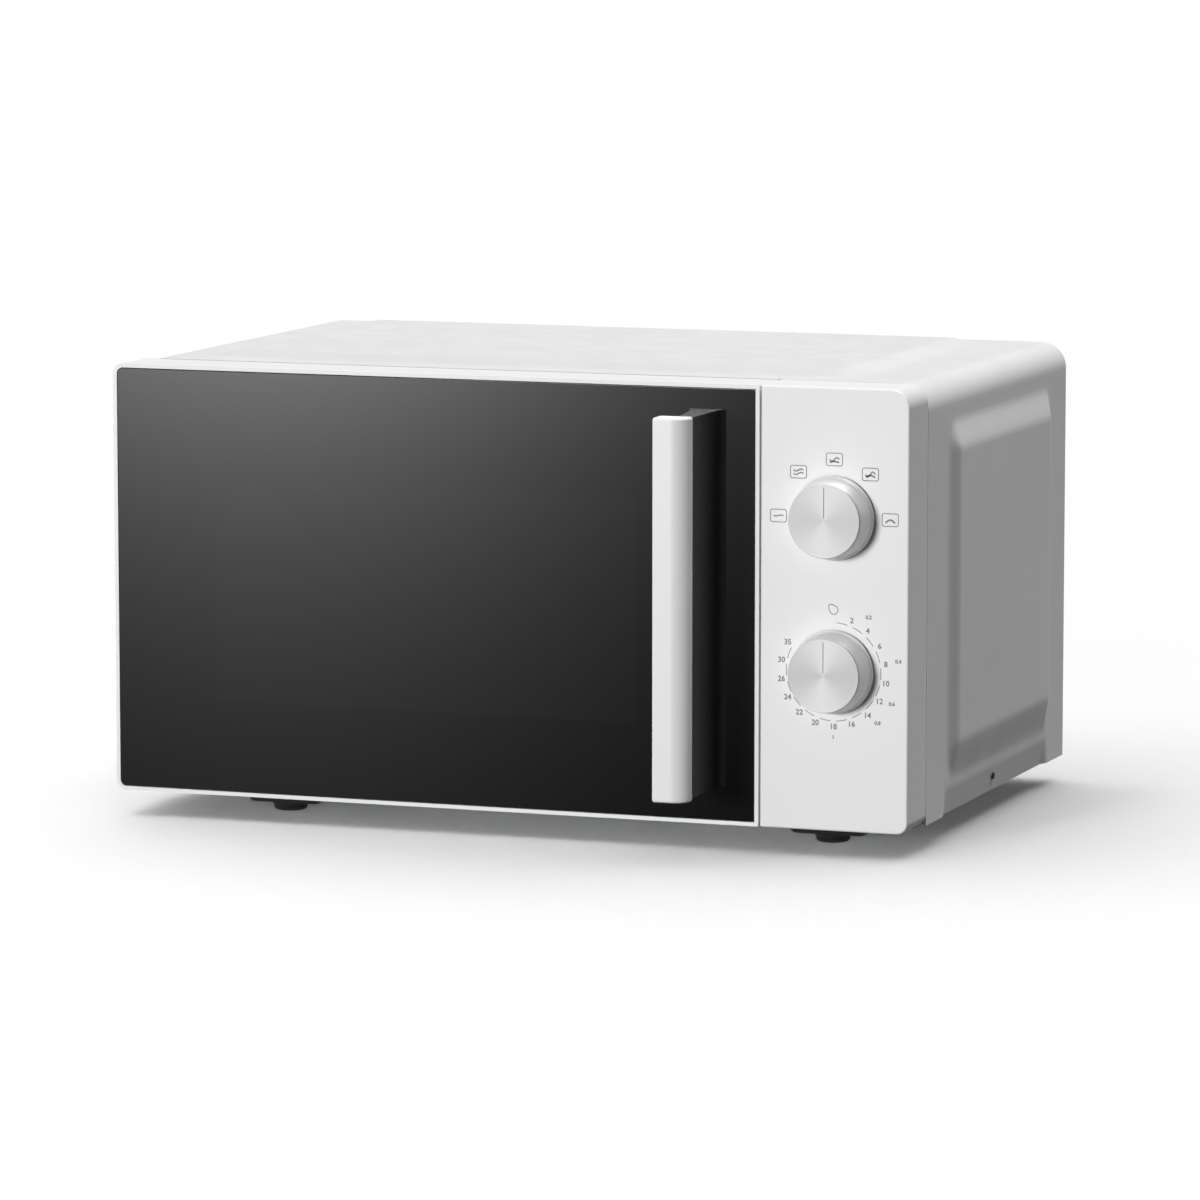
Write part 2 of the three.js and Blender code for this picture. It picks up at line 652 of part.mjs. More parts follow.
// A moulded frame: a lip round the glass, four walls, a web behind the glass and two hinge knuckles.
function doorFrame() {
  const seat = GLASS_THICKNESS + GAP;
  const web = 2.5;
  const face = alongY(doorFace(0), 0, DOOR_THICKNESS, 8);
  const body = face.intersect(alongZ(doorPlan(0, 0), -1, FACE_HEIGHT + 1, 8));
  const glassSeat = alongY(doorFace(GLASS_LIP), -1, seat, 8);
  const rear = alongY(doorFace(FRAME_WALL), seat + web, DOOR_THICKNESS + 1, 3);
  const hollow = rear.intersect(alongZ(doorPlan(FRAME_WALL, seat + web), -1, FACE_HEIGHT + 1, 4));
  const [left, right, low, high] = CHOKE_OPENING;
  const window = block(left, right, seat - 1, seat + web + 1, low, high);
  const knuckles = HINGE_LEVELS.map((z) =>
    rod(HINGE_INSET - 1.2, HINGE_ARM + 12, "z", [HINGE_INSET, HINGE_Y, z - 6], 16),
  );
  const notches = HINGE_LEVELS.map((z) =>
    block(-1, HINGE_INSET * 2, HINGE_Y - 8, DOOR_THICKNESS + 1, z - 1, z + HINGE_ARM + 1),
  );
  const bores = HINGE_LEVELS.map((z) =>
    rod(HINGE_PIN_RADIUS + GAP, HINGE_ARM + 10, "z", [HINGE_INSET, HINGE_Y, z - 5], 16),
  );
  const shell = cut(body, glassSeat, hollow, window);
  return piece("door_frame", cut(join(shell, ...knuckles), ...notches, ...bores), WHITE_PLASTIC);
}

function doorGlass() {
  return piece("door_glass", alongY(doorFace(GLASS_LIP + GAP), 0, GLASS_THICKNESS, 8), BLACK_GLASS);
}

// The steel pan that keeps the microwaves in; its walls form the choke round the cavity's mouth.
function doorScreenPlate() {
  const [x0, x1, z0, z1] = [22, LATCH_X - 6, 12, FACE_HEIGHT - 12];
  const pan = block(x0, x1, 12, DOOR_SHEET_Y, z0, z1);
  const inside = block(x0 + SHEET, x1 - SHEET, 11, DOOR_SHEET_Y - SHEET, z0 + SHEET, z1 - SHEET);
  return piece("door_screen_plate", cut(pan, inside), STEEL);
}

function doorChokeCover() {
  const edge = FRAME_WALL + GAP;
  const top = FACE_HEIGHT - DOOR_TOP_GAP - edge;
  const shape = outline(HINGE_INSET * 2 + GAP, DOOR_WIDTH - edge, edge, top, evenly(1));
  const [left, right, low, high] = CHOKE_OPENING;
  const panel = alongY(shape, DOOR_SHEET_Y + GAP, DOOR_THICKNESS, 3);
  const window = alongY(outline(left, right, low, high, evenly(3)), DOOR_SHEET_Y, DOOR_THICKNESS + 1, 3);
  return piece("door_choke_cover", cut(panel, window, ...latchSlots()), BLACK_PLASTIC);
}

function doorInnerWindow() {
  const [left, right, low, high] = CHOKE_OPENING;
  const shape = outline(left + GAP, right - GAP, low + GAP, high - GAP, evenly(3));
  const front = DOOR_SHEET_Y + GAP;
  return piece("door_inner_window", alongY(shape, front, front + WINDOW_SHEET, 3), CLEAR_FILM);
}

function hingePins() {
  return HINGE_LEVELS.map((z, i) => {
    const pin = rod(HINGE_PIN_RADIUS, HINGE_ARM + 9, "z", [0, 0, -4.5], 16);
    const name = i ? "hinge_pin_upper" : "hinge_pin_lower";
    return piece(name, pin, STEEL, [HINGE_INSET, HINGE_Y, z]);
  });
}

// Each hinge is an angle bracket on the chassis front with an arm that reaches into the door.
function hinges() {
  return HINGE_LEVELS.map((z, i) => {
    const [left, right, back] = [HINGE_INSET - 5, HINGE_INSET + 5, BODY_FRONT - GAP];
    const eye = rod(5, HINGE_ARM, "z", [HINGE_INSET, HINGE_Y, z], 20);
    const arm = block(left, right, HINGE_Y, back, z, z + HINGE_ARM);
    const pad = block(left, right, back - SHEET, back, z - 1, z + HINGE_ARM + 1);
    const below = [HINGE_INSET, HINGE_Y, z - 1];
    const bore = rod(HINGE_PIN_RADIUS + RUNNING_GAP, 2 * HINGE_ARM, "z", below, 16);
    const name = i ? "hinge_upper" : "hinge_lower";
    return piece(name, cut(join(eye, arm, pad), bore), STEEL);
  });
}

// The grip's dark body: narrow at the bar, wider at the door, with its left side hollowed for fingers.
function handleSupport() {
  const right = HANDLE_RIGHT;
  const front = -HANDLE_REACH + HANDLE_BAR_DEPTH + GAP;
  const shape = new THREE.Shape();
  shape.moveTo(right - HANDLE_WIDTH + 0.6, -GAP);
  shape.quadraticCurveTo(right - 14.5, front * 0.35, right - 12.5, front);
  shape.lineTo(right - 3.4, front);
  shape.lineTo(right - 3.4, -9);
  shape.quadraticCurveTo(right - 3.4, -2.5, right, -GAP);
  return piece("handle_support", alongZ(shape, HANDLE_LOW + 1.2, HANDLE_TOP - 0.4, 6), BLACK_PLASTIC);
}

function handleBar() {
  const right = HANDLE_RIGHT;
  const left = right - HANDLE_WIDTH;
  const front = -HANDLE_REACH;
  const back = front + HANDLE_BAR_DEPTH;
  const shape = new THREE.Shape();
  shape.moveTo(left + 0.8, back);
  shape.lineTo(left, back - 0.8);
  shape.lineTo(left, front + 1.2);
  shape.quadraticCurveTo(left, front, left + 1.2, front);
  shape.lineTo(left + 0.62 * HANDLE_WIDTH, front);
  shape.bezierCurveTo(right - 4, front, right - 0.6, front + 0.6, right, front + 3.4);
  shape.lineTo(right - 2.6, back);
  return piece("handle_bar", alongZ(shape, HANDLE_LOW, HANDLE_TOP, 6), WHITE_PLASTIC);
}

// ---------------------------------------------------------------- door latch

// One moulding with an upper and a lower hook, free to slide up and down inside the door.
function latchHooks() {
  const back = BODY_FRONT + LATCH_HOOK_REACH;
  const hook = (z) =>
    alongX(
      shapeOf([
        [LATCH_BAR_Y, z + 3],
        [back - 6, z + 3],
        [back - 6, z],
        [back - 4, z],
        [back, z + 6],
        [back, z + 8],
        [back - 5, z + LATCH_HOOK_HEIGHT],
        [LATCH_BAR_Y, z + LATCH_HOOK_HEIGHT],
      ]),
      0,
      LATCH_WIDTH,
    );
  const [low, high] = [LATCH_LEVELS[0] - LATCH_BAR_TAIL, LATCH_LEVELS[1] + LATCH_HOOK_HEIGHT + 4];
  const bar = block(0, LATCH_WIDTH, LATCH_BAR_Y - 2, LATCH_BAR_Y + 5, low, high);
  return piece("latch_hooks", join(bar, ...LATCH_LEVELS.map(hook)), CREAM_PLASTIC, [LATCH_X, 0, 0]);
}

class Helix extends THREE.Curve {
  constructor(radius, pitch, turns) {
    super();
    Object.assign(this, { radius, pitch, turns });
  }

  getPoint(t, target = new THREE.Vector3()) {
    const { radius, pitch, turns } = this;
    const angle = t * turns * 2 * Math.PI;
    return target.set(radius * Math.cos(angle), radius * Math.sin(angle), t * turns * pitch);
  }
}

// The coil that pulls the hooks down; it stands between the frame's floor and the hooks' bar.
function latchSpring() {
  const wire = 0.5;
  const low = FRAME_WALL + GAP + wire;
  const high = LATCH_LEVELS[0] - LATCH_BAR_TAIL - GAP - wire;
  const turns = 5;
  const section = shapeOf([
    [wire, 0],
    [0, wire],
    [-wire, 0],
    [0, -wire],
  ]);
  const path = new Helix(2.4, (high - low) / turns, turns);
  const coil = new THREE.ExtrudeGeometry(section, { steps: 42, extrudePath: path, bevelEnabled: false });
  return piece("latch_spring", solid(coil), STEEL, [LATCH_X + LATCH_WIDTH / 2, LATCH_BAR_Y + 1.5, low]);
}

function door() {
  return group(
    [0, 0, 0],
    doorFrame(),
    doorGlass(),
    doorScreenPlate(),
    doorChokeCover(),
    doorInnerWindow(),
    ...hingePins(),
    handleSupport(),
    handleBar(),
    latchSpring(),
    latchHooks(),
  );
}

// ---------------------------------------------------------------- control panel and dials

const MECHANISM_FRONT = PANEL_WALL + GAP;
const SHAFT_BACK = 12;

function controlPanel() {
  const radius = 6;
  const shape = outline(PANEL_LEFT, WIDTH, 0, FACE_HEIGHT, [0, radius, COVER_CORNER - 4, 0]);
  const hollow = outline(
    PANEL_LEFT + FRAME_WALL,
    WIDTH - FRAME_WALL,
    FRAME_WALL,
    FACE_HEIGHT - FRAME_WALL,
    [0, radius - FRAME_WALL, COVER_CORNER - 4 - FRAME_WALL, 0],
  );
  const shell = cut(alongY(shape, 0, DOOR_THICKNESS, 6), alongY(hollow, PANEL_WALL, DOOR_THICKNESS + 1, 6));
  const holes = [POWER_Z, TIMER_Z].map((z) =>
    rod(SHAFT_RADIUS + 1.2, 2 * PANEL_WALL, "y", [KNOB_X, -1, z]),
  );
  return piece("control_panel", cut(shell, ...holes), WHITE_PLASTIC);
}

// A closed gear case with a front bush; its shaft sits in a blind bore.
function timerMechanism() {
  const depth = 26;
  const housing = brick([48, depth, 48], [0, MECHANISM_FRONT + depth / 2, 0]);
  const bell = rod(15, 6, "y", [0, MECHANISM_FRONT + depth - 0.5, 0], 24);
  const bore = rod(SHAFT_RADIUS + RUNNING_GAP, 12, "y", [0, 0, 0]);
  return piece("timer_mechanism", cut(join(housing, bell), bore), ZINC, [KNOB_X, 0, TIMER_Z]);
}

function powerSelector() {
  const depth = 20;
  const housing = brick([40, depth, 34], [0, MECHANISM_FRONT + depth / 2, 0]);
  const tabs = [-12, 0, 12].map((x) => brick([6.3, 9, 0.8], [x, MECHANISM_FRONT + depth + 4, 6]));
  const bore = rod(SHAFT_RADIUS + RUNNING_GAP, 12, "y", [0, 0, 0]);
  return piece("power_selector", cut(join(housing, ...tabs), bore), CREAM_PLASTIC, [KNOB_X, 0, POWER_Z]);
}

// A dial: a tapered body with a skirt and a boss for the shaft, a spun metal cap and the flatted shaft.
// Heights run outwards from the panel.
function dial(prefix, z) {
  const bodyTop = KNOB_REACH - 1.3;
  const boss = bodyTop - 2.6;
  const profile = [
    [0, boss],
    [SHAFT_RADIUS + GAP, boss],
    [SHAFT_RADIUS + GAP, 1],
    [SHAFT_RADIUS + 3.2, 1],
    [SHAFT_RADIUS + 3.2, boss],
    [KNOB_RADIUS - 4.6, boss],
    [KNOB_RADIUS - 2.4, 0.8],
    [KNOB_RADIUS, 0.8],
    [KNOB_RADIUS, 2.2],
    [KNOB_RADIUS - 0.9, 3],
    [KNOB_RADIUS - 2.6, bodyTop - 0.8],
    [KNOB_RADIUS - 3.4, bodyTop],
    [0, bodyTop],
  ];
  const capRadius = KNOB_RADIUS - 2.95;
  const cap = [
    [0, bodyTop + GAP],
    [capRadius - 0.4, bodyTop + GAP],
    [capRadius, KNOB_REACH - 0.5],
    [capRadius - 0.5, KNOB_REACH],
    [0, KNOB_REACH],
  ];
  const length = boss - GAP + SHAFT_BACK - GAP;
  const shaft = rod(SHAFT_RADIUS, length, "z", [0, 0, -SHAFT_BACK + GAP], 20);
  const flat = block(SHAFT_RADIUS - 0.8, SHAFT_RADIUS + 1, -4, 4, 1, boss);
  const out = [Math.PI / 2, 0, 0];
  return group(
    [KNOB_X, 0, z],
    piece(`${prefix}_knob`, turned(profile, 32), SILVER, [0, 0, 0], out),
    piece(`${prefix}_knob_cap`, turned(cap, 32), SILVER, [0, 0, 0], out),
    piece(`${prefix}_shaft`, cut(shaft, flat), CREAM_PLASTIC, [0, 0, 0], out),
  );
}

// ---------------------------------------------------------------- interlock switches

const BRACKET_X = LATCH_X + LATCH_WIDTH + LATCH_CLEARANCE + 2;
const BRACKET_DEPTH = 27;

function interlockBracket() {
  const low = LATCH_LEVELS[0] - 12;
  const high = LATCH_LEVELS[1] + 26;
  const front = FRONT_PLATE_BACK + GAP;
  const wall = block(BRACKET_X, BRACKET_X + 2.4, front, front + BRACKET_DEPTH, low, high);
  const foot = block(BRACKET_X, BRACKET_X + 9, front, front + 2.4, low, high);
  const windows = LATCH_LEVELS.map((z) =>
    block(BRACKET_X - 1, BRACKET_X + 1.4, front + 14, front + 22, z + 2, z + 12),
  );
  return piece("interlock_bracket", cut(join(wall, foot), ...windows), CREAM_PLASTIC);
}

function microswitch(name, [x, z]) {
  const body = brick([10, 16, 28]);
  const plunger = brick([3, 2.4, 3], [0, -9, 8]);
  const terminals = [-9, 0, 9].map((along) => brick([0.8, 8, 5], [0, 11, along]));
  const y = FRONT_PLATE_BACK + GAP + 2.4 + GAP + 11;
  return piece(name, join(body, plunger, ...terminals), BLACK_PLASTIC, [x, y, z]);
}

function interlock() {
  const beside = BRACKET_X + 2.4 + GAP + 5;
  const [low, high] = LATCH_LEVELS;
  return [
    interlockBracket(),
    microswitch("primary_switch", [beside, high + 8]),
    microswitch("secondary_switch", [beside, low + 8]),
    microswitch("monitor_switch", [beside + 10 + GAP, high + 8]),
  ];
}

// ---------------------------------------------------------------- high-voltage parts

// A steel yoke round a stack of cooling fins, with the filter box on its far end.
function magnetron() {
  const [width, depth, height] = MAGNETRON_SIZE;
  const left = WAVEGUIDE_RIGHT + GAP;
  const yoke = block(left, left + width, -depth / 2, depth / 2, -height / 2, height / 2);
  const fins = Array.from({ length: 6 }, (_, i) => {
    const x = left + 8 + i * 7;
    return [-1, 1].map((end) => {
      const z0 = end > 0 ? 21 : -height / 2 + 4;
      const z1 = end > 0 ? height / 2 - 4 : -21;
      return block(x, x + 4, -depth / 2 - 1, depth / 2 + 1, z0, z1);
    });
  });
  const filter = block(left + width - 0.5, left + width + 22, -30, 30, -26, 26);
  const at = [0, WAVEGUIDE_Y, MAGNETRON_Z];
  return piece("magnetron_body", cut(join(yoke, filter), ...fins.flat()), ZINC, at);
}

function magnetronAntenna() {
  const reach = WAVEGUIDE_SIZE[0] - 4;
  const profile = [
    [0, 0],
    [ANTENNA_FLANGE, 0],
    [ANTENNA_FLANGE, 3],
    [9, 3],
    [7.5, reach - 3],
    [5, reach],
    [0, reach],
  ];
  const at = [WAVEGUIDE_RIGHT, WAVEGUIDE_Y, MAGNETRON_Z];
  return piece("magnetron_antenna", turned(profile, 18), COPPER, at, [0, -Math.PI / 2, 0]);
}

const CORE_SIZE = [90, 55, 70];
const LEG_WIDTH = 28;
const WINDING_ROOM = 16;
const CORE_CENTRE_Y = FRONT_PLATE_BACK + 60.8;

// Laminations with two windows; both windings sit round the middle leg.
function transformer() {
  const [width, depth, height] = CORE_SIZE;
  const core = block(-width / 2, width / 2, -depth / 2, depth / 2, 0, height);
  const windows = [-1, 1].map((side) => {
    const near = (side * LEG_WIDTH) / 2;
    const far = near + side * WINDING_ROOM;
    return block(Math.min(near, far), Math.max(near, far), -depth, depth, 9, height - 9);
  });
  const winding = (name, z0, z1, material) => {
    const x = LEG_WIDTH / 2 + GAP;
    const y = depth / 2 + GAP;
    const wall = WINDING_ROOM - 2 * GAP;
    const coil = alongZ(outline(-x - wall, x + wall, -y - wall, y + wall, evenly(wall)), z0, z1, 4);
    return piece(name, cut(coil, block(-x, x, -y, y, z0 - 1, z1 + 1)), material);
  };
  return group(
    [ELECTRICS_X, CORE_CENTRE_Y, BASE_WELL],
    piece("transformer_core", cut(core, ...windows), LAMINATION),
    winding("primary_winding", 9 + GAP, 33, ENAMELLED_WIRE),
    winding("secondary_winding", 34, height - 9 - GAP, COPPER),
  );
}

const CAPACITOR = { length: 92, depth: 52, height: 33 };
const DIODE_ROOM = 12.7;
const CAPACITOR_FRONT = CORE_CENTRE_Y + CORE_SIZE[1] / 2 + WINDING_ROOM + DIODE_ROOM;

function capacitor() {
  const { length, depth, height } = CAPACITOR;
  const r = height / 2 - 0.5;
  const can = alongX(outline(-depth / 2, depth / 2, 0, height, evenly(r)), -length / 2, length / 2, 5);
  const tabs = [-10, 10].map((v) => brick([12, 6.3, 0.8], [-length / 2 - 5, v, height / 2]));
  const wall = 1.2;
  const strapOut = alongX(
    outline(-depth / 2 - GAP - wall, depth / 2 + GAP + wall, 0, height + GAP + wall, [0, 0, r + 1, r + 1]),
    -8,
    8,
    5,
  );
  const strapIn = alongX(
    outline(-depth / 2 - GAP, depth / 2 + GAP, -1, height + GAP, [0, 0, r, r]),
    -9,
    9,
    5,
  );
  const foot = block(-8, 8, depth / 2 + GAP, depth / 2 + 14, 0, wall);
  return group(
    [ELECTRICS_X, CAPACITOR_FRONT + depth / 2, BASE_WELL],
    piece("hv_capacitor", join(can, ...tabs), ALUMINIUM, [2, 0, 0]),
    piece("capacitor_clamp", join(cut(strapOut, strapIn), foot), ZINC),
  );
}

function diode() {
  const body = rod(4, 20, "x", [0, 0, 6], 16);
  const tab = block(-10, 1, -5, 5, 0, 1.2);
  const post = block(-2, 1, -3, 3, 0, 8);
  const at = [ELECTRICS_X - 30, CAPACITOR_FRONT - 6.5, BASE_WELL];
  return piece("hv_diode", join(body, tab, post), BLACK_PLASTIC, at);
}

function noiseFilter() {
  const width = 76;
  const height = 44;
  const board = block(-width / 2, width / 2, 0, 1.6, 0, height);
  const choke = rod(13, 12, "y", [-16, -11.8, 22], 24);
  const film = block(8, 30, -13, 0.4, 10, 32);
  const posts = [-1, 1].map((side) => rod(3, 5, "y", [(side * (width - 10)) / 2, 1.2, 6], 12));
  const at = [ELECTRICS_X, REAR_PLATE_FRONT - GAP - 6.2, 44];
  return piece("noise_filter_board", join(board, choke, film, ...posts), BOARD, at);
}

// ---------------------------------------------------------------- cooling fan

function fanBracket() {
  const outer = FAN_RADIUS + 5;
  const ring = turned(
    [
      [outer - 2, 0],
      [outer, 0],
      [outer, FAN_DEPTH + 5],
      [outer - 2, FAN_DEPTH + 5],
      [outer - 2, 0],
    ],
    32,
  );
  const strut = block(-outer + 1, outer - 1, -6, 6, FAN_DEPTH + 3, FAN_DEPTH + 5);
  const bore = rod(4, 20, "z", [0, 0, FAN_DEPTH - 2]);
  return piece("fan_bracket", cut(join(ring, strut), bore), GREY_PLASTIC, [0, 0, 0], [-Math.PI / 2, 0, 0]);
}

function fanMotor() {
  const z0 = FAN_DEPTH + 5 + GAP;
  const core = block(-18, 18, -15, 15, z0, z0 + 16);
  const coil = block(-15, 15, -20, -14, z0 + 2, z0 + 14);
  const bore = rod(2 + GAP, 14, "z", [0, 0, z0 - 1]);
  return piece("fan_motor", cut(join(core, coil), bore), LAMINATION, [0, 0, 0], [-Math.PI / 2, 0, 0]);
}

function fanImpeller() {
  const blades = Array.from({ length: 7 }, (_, i) => {
    const blade = new THREE.BoxGeometry(FAN_RADIUS - 10, 17, 1.4);
    blade.rotateX(0.6).translate(10 + (FAN_RADIUS - 10) / 2 - 0.5, 0, FAN_DEPTH / 2);
    return solid(blade.rotateZ((i * 2 * Math.PI) / 7));
  });
  const hub = rod(12, FAN_DEPTH - 1, "z", [0, 0, 1], 24);
  const shaft = rod(2, FAN_DEPTH + 10, "z", [0, 0, 4], 16);
  return piece("fan_impeller", join(hub, shaft, ...blades), GREY_PLASTIC, [0, 0, 0], [-Math.PI / 2, 0, 0]);
}

function fan() {
  return group([FAN_X, FAN_FRONT, MAGNETRON_Z], fanBracket(), fanMotor(), fanImpeller());
}

// ---------------------------------------------------------------- lamp and cut-out

// The lamp stands against the cavity's side, midway between the interlock bracket and the waveguide.
function lamp() {
  const bulb = [
    [0, 0],
    [5, 0.8],
    [8.5, 3.6],
    [10, 8],
    [9.6, 13],
    [7, 19],
    [6, 24],
    [6, 32],
    [0, 32],
  ];
  const holder = cut(block(-13, 13, -12, 12, 26, 46), rod(6 + GAP, 10, "z", [0, 0, 22.3 + GAP]));
  const plate = block(-14.3, -12.5, -14, 14, 22, 50);
  const bracketBack = FRONT_PLATE_BACK + GAP + BRACKET_DEPTH;
  const y = (bracketBack + WAVEGUIDE_Y - WAVEGUIDE_SIZE[1] / 2) / 2;
  return group(
    [ELECTRICS_LEFT + 14.6, y, FACE_HEIGHT - 68],
    piece("lamp_bulb", turned(bulb, 16), CLEAR_GLASS),
    piece("lamp_holder", join(holder, plate), CREAM_PLASTIC),
  );
}

function thermalCutout() {
  const at = [CAVITY_RIGHT - 60, TURNTABLE_Y, CAVITY_TOP + SHEET + GAP];
  const flange = block(-14, 14, -5, 5, 0, 1);
  return piece("thermal_cutout", join(rod(8, 7, "z", [0, 0, 0], 24), flange), BLACK_PLASTIC, at);
}

// ---------------------------------------------------------------- the whole oven

function oven() {
  const at = [-WIDTH / 2, -(DEPTH - HANDLE_REACH) / 2, FOOT_HEIGHT];
  return group(
    at,
    outerCover(),
    rearPlate(),
    cordGland(),
    basePlate(),
    ...Object.entries(FOOT_CENTRES).map(([name, centre]) => foot(name, centre)),
    ovenCavity(),
    cavityFrontPlate(),
    waveguide(),
    waveguideCover(),
    turntableMotor(),
    turntable(),
    ...hinges(),
    door(),
    controlPanel(),
    timerMechanism(),
    powerSelector(),
    dial("power", POWER_Z),
    dial("timer", TIMER_Z),
    ...interlock(),
    magnetron(),
    magnetronAntenna(),
    transformer(),
    capacitor(),
    diode(),
    noiseFilter(),
    fan(),
    lamp(),
    thermalCutout(),
  );
}

export default oven();
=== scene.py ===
"""Looks of a countertop microwave oven: painted cabinet, dark glass door, dials, turntable and studio.

Everything is in metres, in the oven's own frame: the front faces -Y and the feet stand on z = 0.
"""

import json
import math

import bmesh
import bpy
from bpy.props import FloatProperty, FloatVectorProperty, IntProperty, PointerProperty
from bpy.types import Operator, Panel, PropertyGroup
from mathutils import Matrix, Vector


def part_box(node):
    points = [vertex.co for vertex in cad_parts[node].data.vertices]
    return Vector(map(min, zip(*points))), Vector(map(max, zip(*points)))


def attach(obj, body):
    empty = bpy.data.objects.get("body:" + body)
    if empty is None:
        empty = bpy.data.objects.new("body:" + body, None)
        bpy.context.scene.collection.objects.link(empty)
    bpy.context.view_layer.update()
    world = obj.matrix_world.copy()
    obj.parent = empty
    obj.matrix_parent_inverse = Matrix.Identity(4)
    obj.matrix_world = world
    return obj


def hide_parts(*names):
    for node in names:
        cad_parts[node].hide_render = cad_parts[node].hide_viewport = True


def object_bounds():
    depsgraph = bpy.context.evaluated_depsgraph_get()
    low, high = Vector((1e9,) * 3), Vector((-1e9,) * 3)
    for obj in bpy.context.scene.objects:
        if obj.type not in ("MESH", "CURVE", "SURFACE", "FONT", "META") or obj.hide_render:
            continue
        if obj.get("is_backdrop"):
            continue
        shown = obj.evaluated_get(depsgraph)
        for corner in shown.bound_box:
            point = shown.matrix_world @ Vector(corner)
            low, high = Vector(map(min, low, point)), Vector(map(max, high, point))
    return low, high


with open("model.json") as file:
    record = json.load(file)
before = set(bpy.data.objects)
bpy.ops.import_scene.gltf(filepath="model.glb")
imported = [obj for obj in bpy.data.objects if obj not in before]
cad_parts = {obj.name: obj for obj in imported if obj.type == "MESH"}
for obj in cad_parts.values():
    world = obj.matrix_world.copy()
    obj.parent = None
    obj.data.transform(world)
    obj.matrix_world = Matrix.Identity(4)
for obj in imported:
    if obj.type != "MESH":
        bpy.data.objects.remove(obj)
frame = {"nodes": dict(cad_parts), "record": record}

bl_info = {
    "name": "Countertop microwave oven",
    "version": (1, 0, 0),
    "blender": (4, 5, 0),
    "location": "3D View > Sidebar > Oven",
    "description": "Builds the cabinet, door, dials and studio round the oven's frame",
    "category": "Add Mesh",
}

CAD_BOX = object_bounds()
MM = 0.001
QUARTER = math.pi / 2


# ---------------------------------------------------------------- sizes and colours a user may change


def length(name, text, default):
    return FloatProperty(name=name, description=text, default=default, min=0.0, unit="LENGTH")


def tone(name, text, default):
    return FloatVectorProperty(
        name=name, description=text, default=default, size=3, min=0.0, max=1.0, subtype="COLOR"
    )


def strength(name, text, default):
    return FloatProperty(name=name, description=text, default=default, min=0.0)


class CabinetSizes(PropertyGroup):
    corner: length("Corner radius", "Bend between the top and the sides", 14 * MM)
    press: length("Panel height", "How far the pressed panels stand out", 3.5 * MM)
    sheet: length("Sheet", "Thickness of the painted sheet", 1.2 * MM)
    spacing: length("Mesh spacing", "Distance between the sheet's vertices", 2.4 * MM)
    flange: length("Flange height", "Tapered lower edge of each side", 14.5 * MM)
    taper: length("Flange taper", "How far the lower edge leans in", 2.2 * MM)
    paint: tone("Paint", "Colour of the painted sheet", (0.80, 0.80, 0.80))


class DoorSizes(PropertyGroup):
    glass: tone("Glass", "Colour behind the dark glass", (0.0045, 0.0045, 0.0048))
    moulding: tone("Moulding", "Colour of the white mouldings", (0.79, 0.79, 0.79))
    hole_pitch: length("Screen pitch", "Distance between the holes of the door's screen", 2.6 * MM)
    hole_radius: length("Screen hole", "Radius of a hole of the door's screen", 0.85 * MM)
    bar_round: length("Bar rounding", "Rounding of the handle bar's ends", 1.4 * MM)


class DialSizes(PropertyGroup):
    metal: tone("Metal", "Colour of the dials", (0.47, 0.47, 0.475))
    marks: tone("Marks", "Colour of the printed scale", (0.075, 0.075, 0.08))
    stroke: length("Line width", "Width of the printed lines", 0.48 * MM)
    figure: length("Figure height", "Height of the printed minutes", 2.9 * MM)
    power_reach: length("Power ring", "From the power dial's centre to its symbols", 30.5 * MM)
    timer_reach: length("Minute ring", "From the timer's centre to its figures", 29 * MM)


class StudioSizes(PropertyGroup):
    floor: tone("Floor", "Colour of the floor", (0.94, 0.94, 0.94))
    key: strength("Key light", "Strength of the light from the front", 2.65)
    above: strength("High light", "Strength of the light from above", 3.47)
    spread: strength("Floor light", "Strength of the floor's own light", 3.05)
    lift: strength("Floor lift", "Strength of the floor's shadowless light", 0.26)
    sky: strength("Fill", "Strength of the even fill", 0.07)
    shine: strength("Reflected room", "Brightness that gloss reflects", 0.42)
    fade: length("Floor fade", "Distance at which the floor turns into the white background", 1.1)
    lens: FloatProperty(name="Lens", description="Focal length in millimetres", default=192.2, min=1.0)
    seed: IntProperty(name="Seed", description="Seed of the scattered details", default=4, min=0)


# ---------------------------------------------------------------- places in the frame


def span(node):
    """The x, y and z ranges of a frame node."""
    low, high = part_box(node)
    return (low.x, high.x), (low.y, high.y), (low.z, high.z)


def middle(node):
    low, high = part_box(node)
    return (low + high) / 2


# ---------------------------------------------------------------- mesh building


def skin(bm, rings, looped=False):
    """Joins rings of points, all with the same count, into a tube with closed or joined ends."""
    rows = [[bm.verts.new(point) for point in ring] for ring in rings]
    following = rows[1:] + (rows[:1] if looped else [])
    count = len(rows[0])
    for near, far in zip(rows, following):
        for i in range(count):
            j = (i + 1) % count
            bm.faces.new((near[i], near[j], far[j], far[i]))
    if not looped:
        bm.faces.new(list(reversed(rows[0])))
        bm.faces.new(rows[-1])
    return rows


def rounded(u0, u1, v0, v1, radii, steps=8):
    """Points round a rectangle, anticlockwise from the bottom left corner, as are its radii."""
    corners = ((u0, v0, 1, 1), (u1, v0, -1, 1), (u1, v1, -1, -1), (u0, v1, 1, -1))
    points = []
    for index, (u, v, du, dv) in enumerate(corners):
        radius = max(radii[index], 0.05 * MM)
        start = math.pi + index * QUARTER
        for i in range(steps + 1):
            angle = start + QUARTER * i / steps
            points.append((u + radius * (du + math.cos(angle)), v + radius * (dv + math.sin(angle))))
    return points


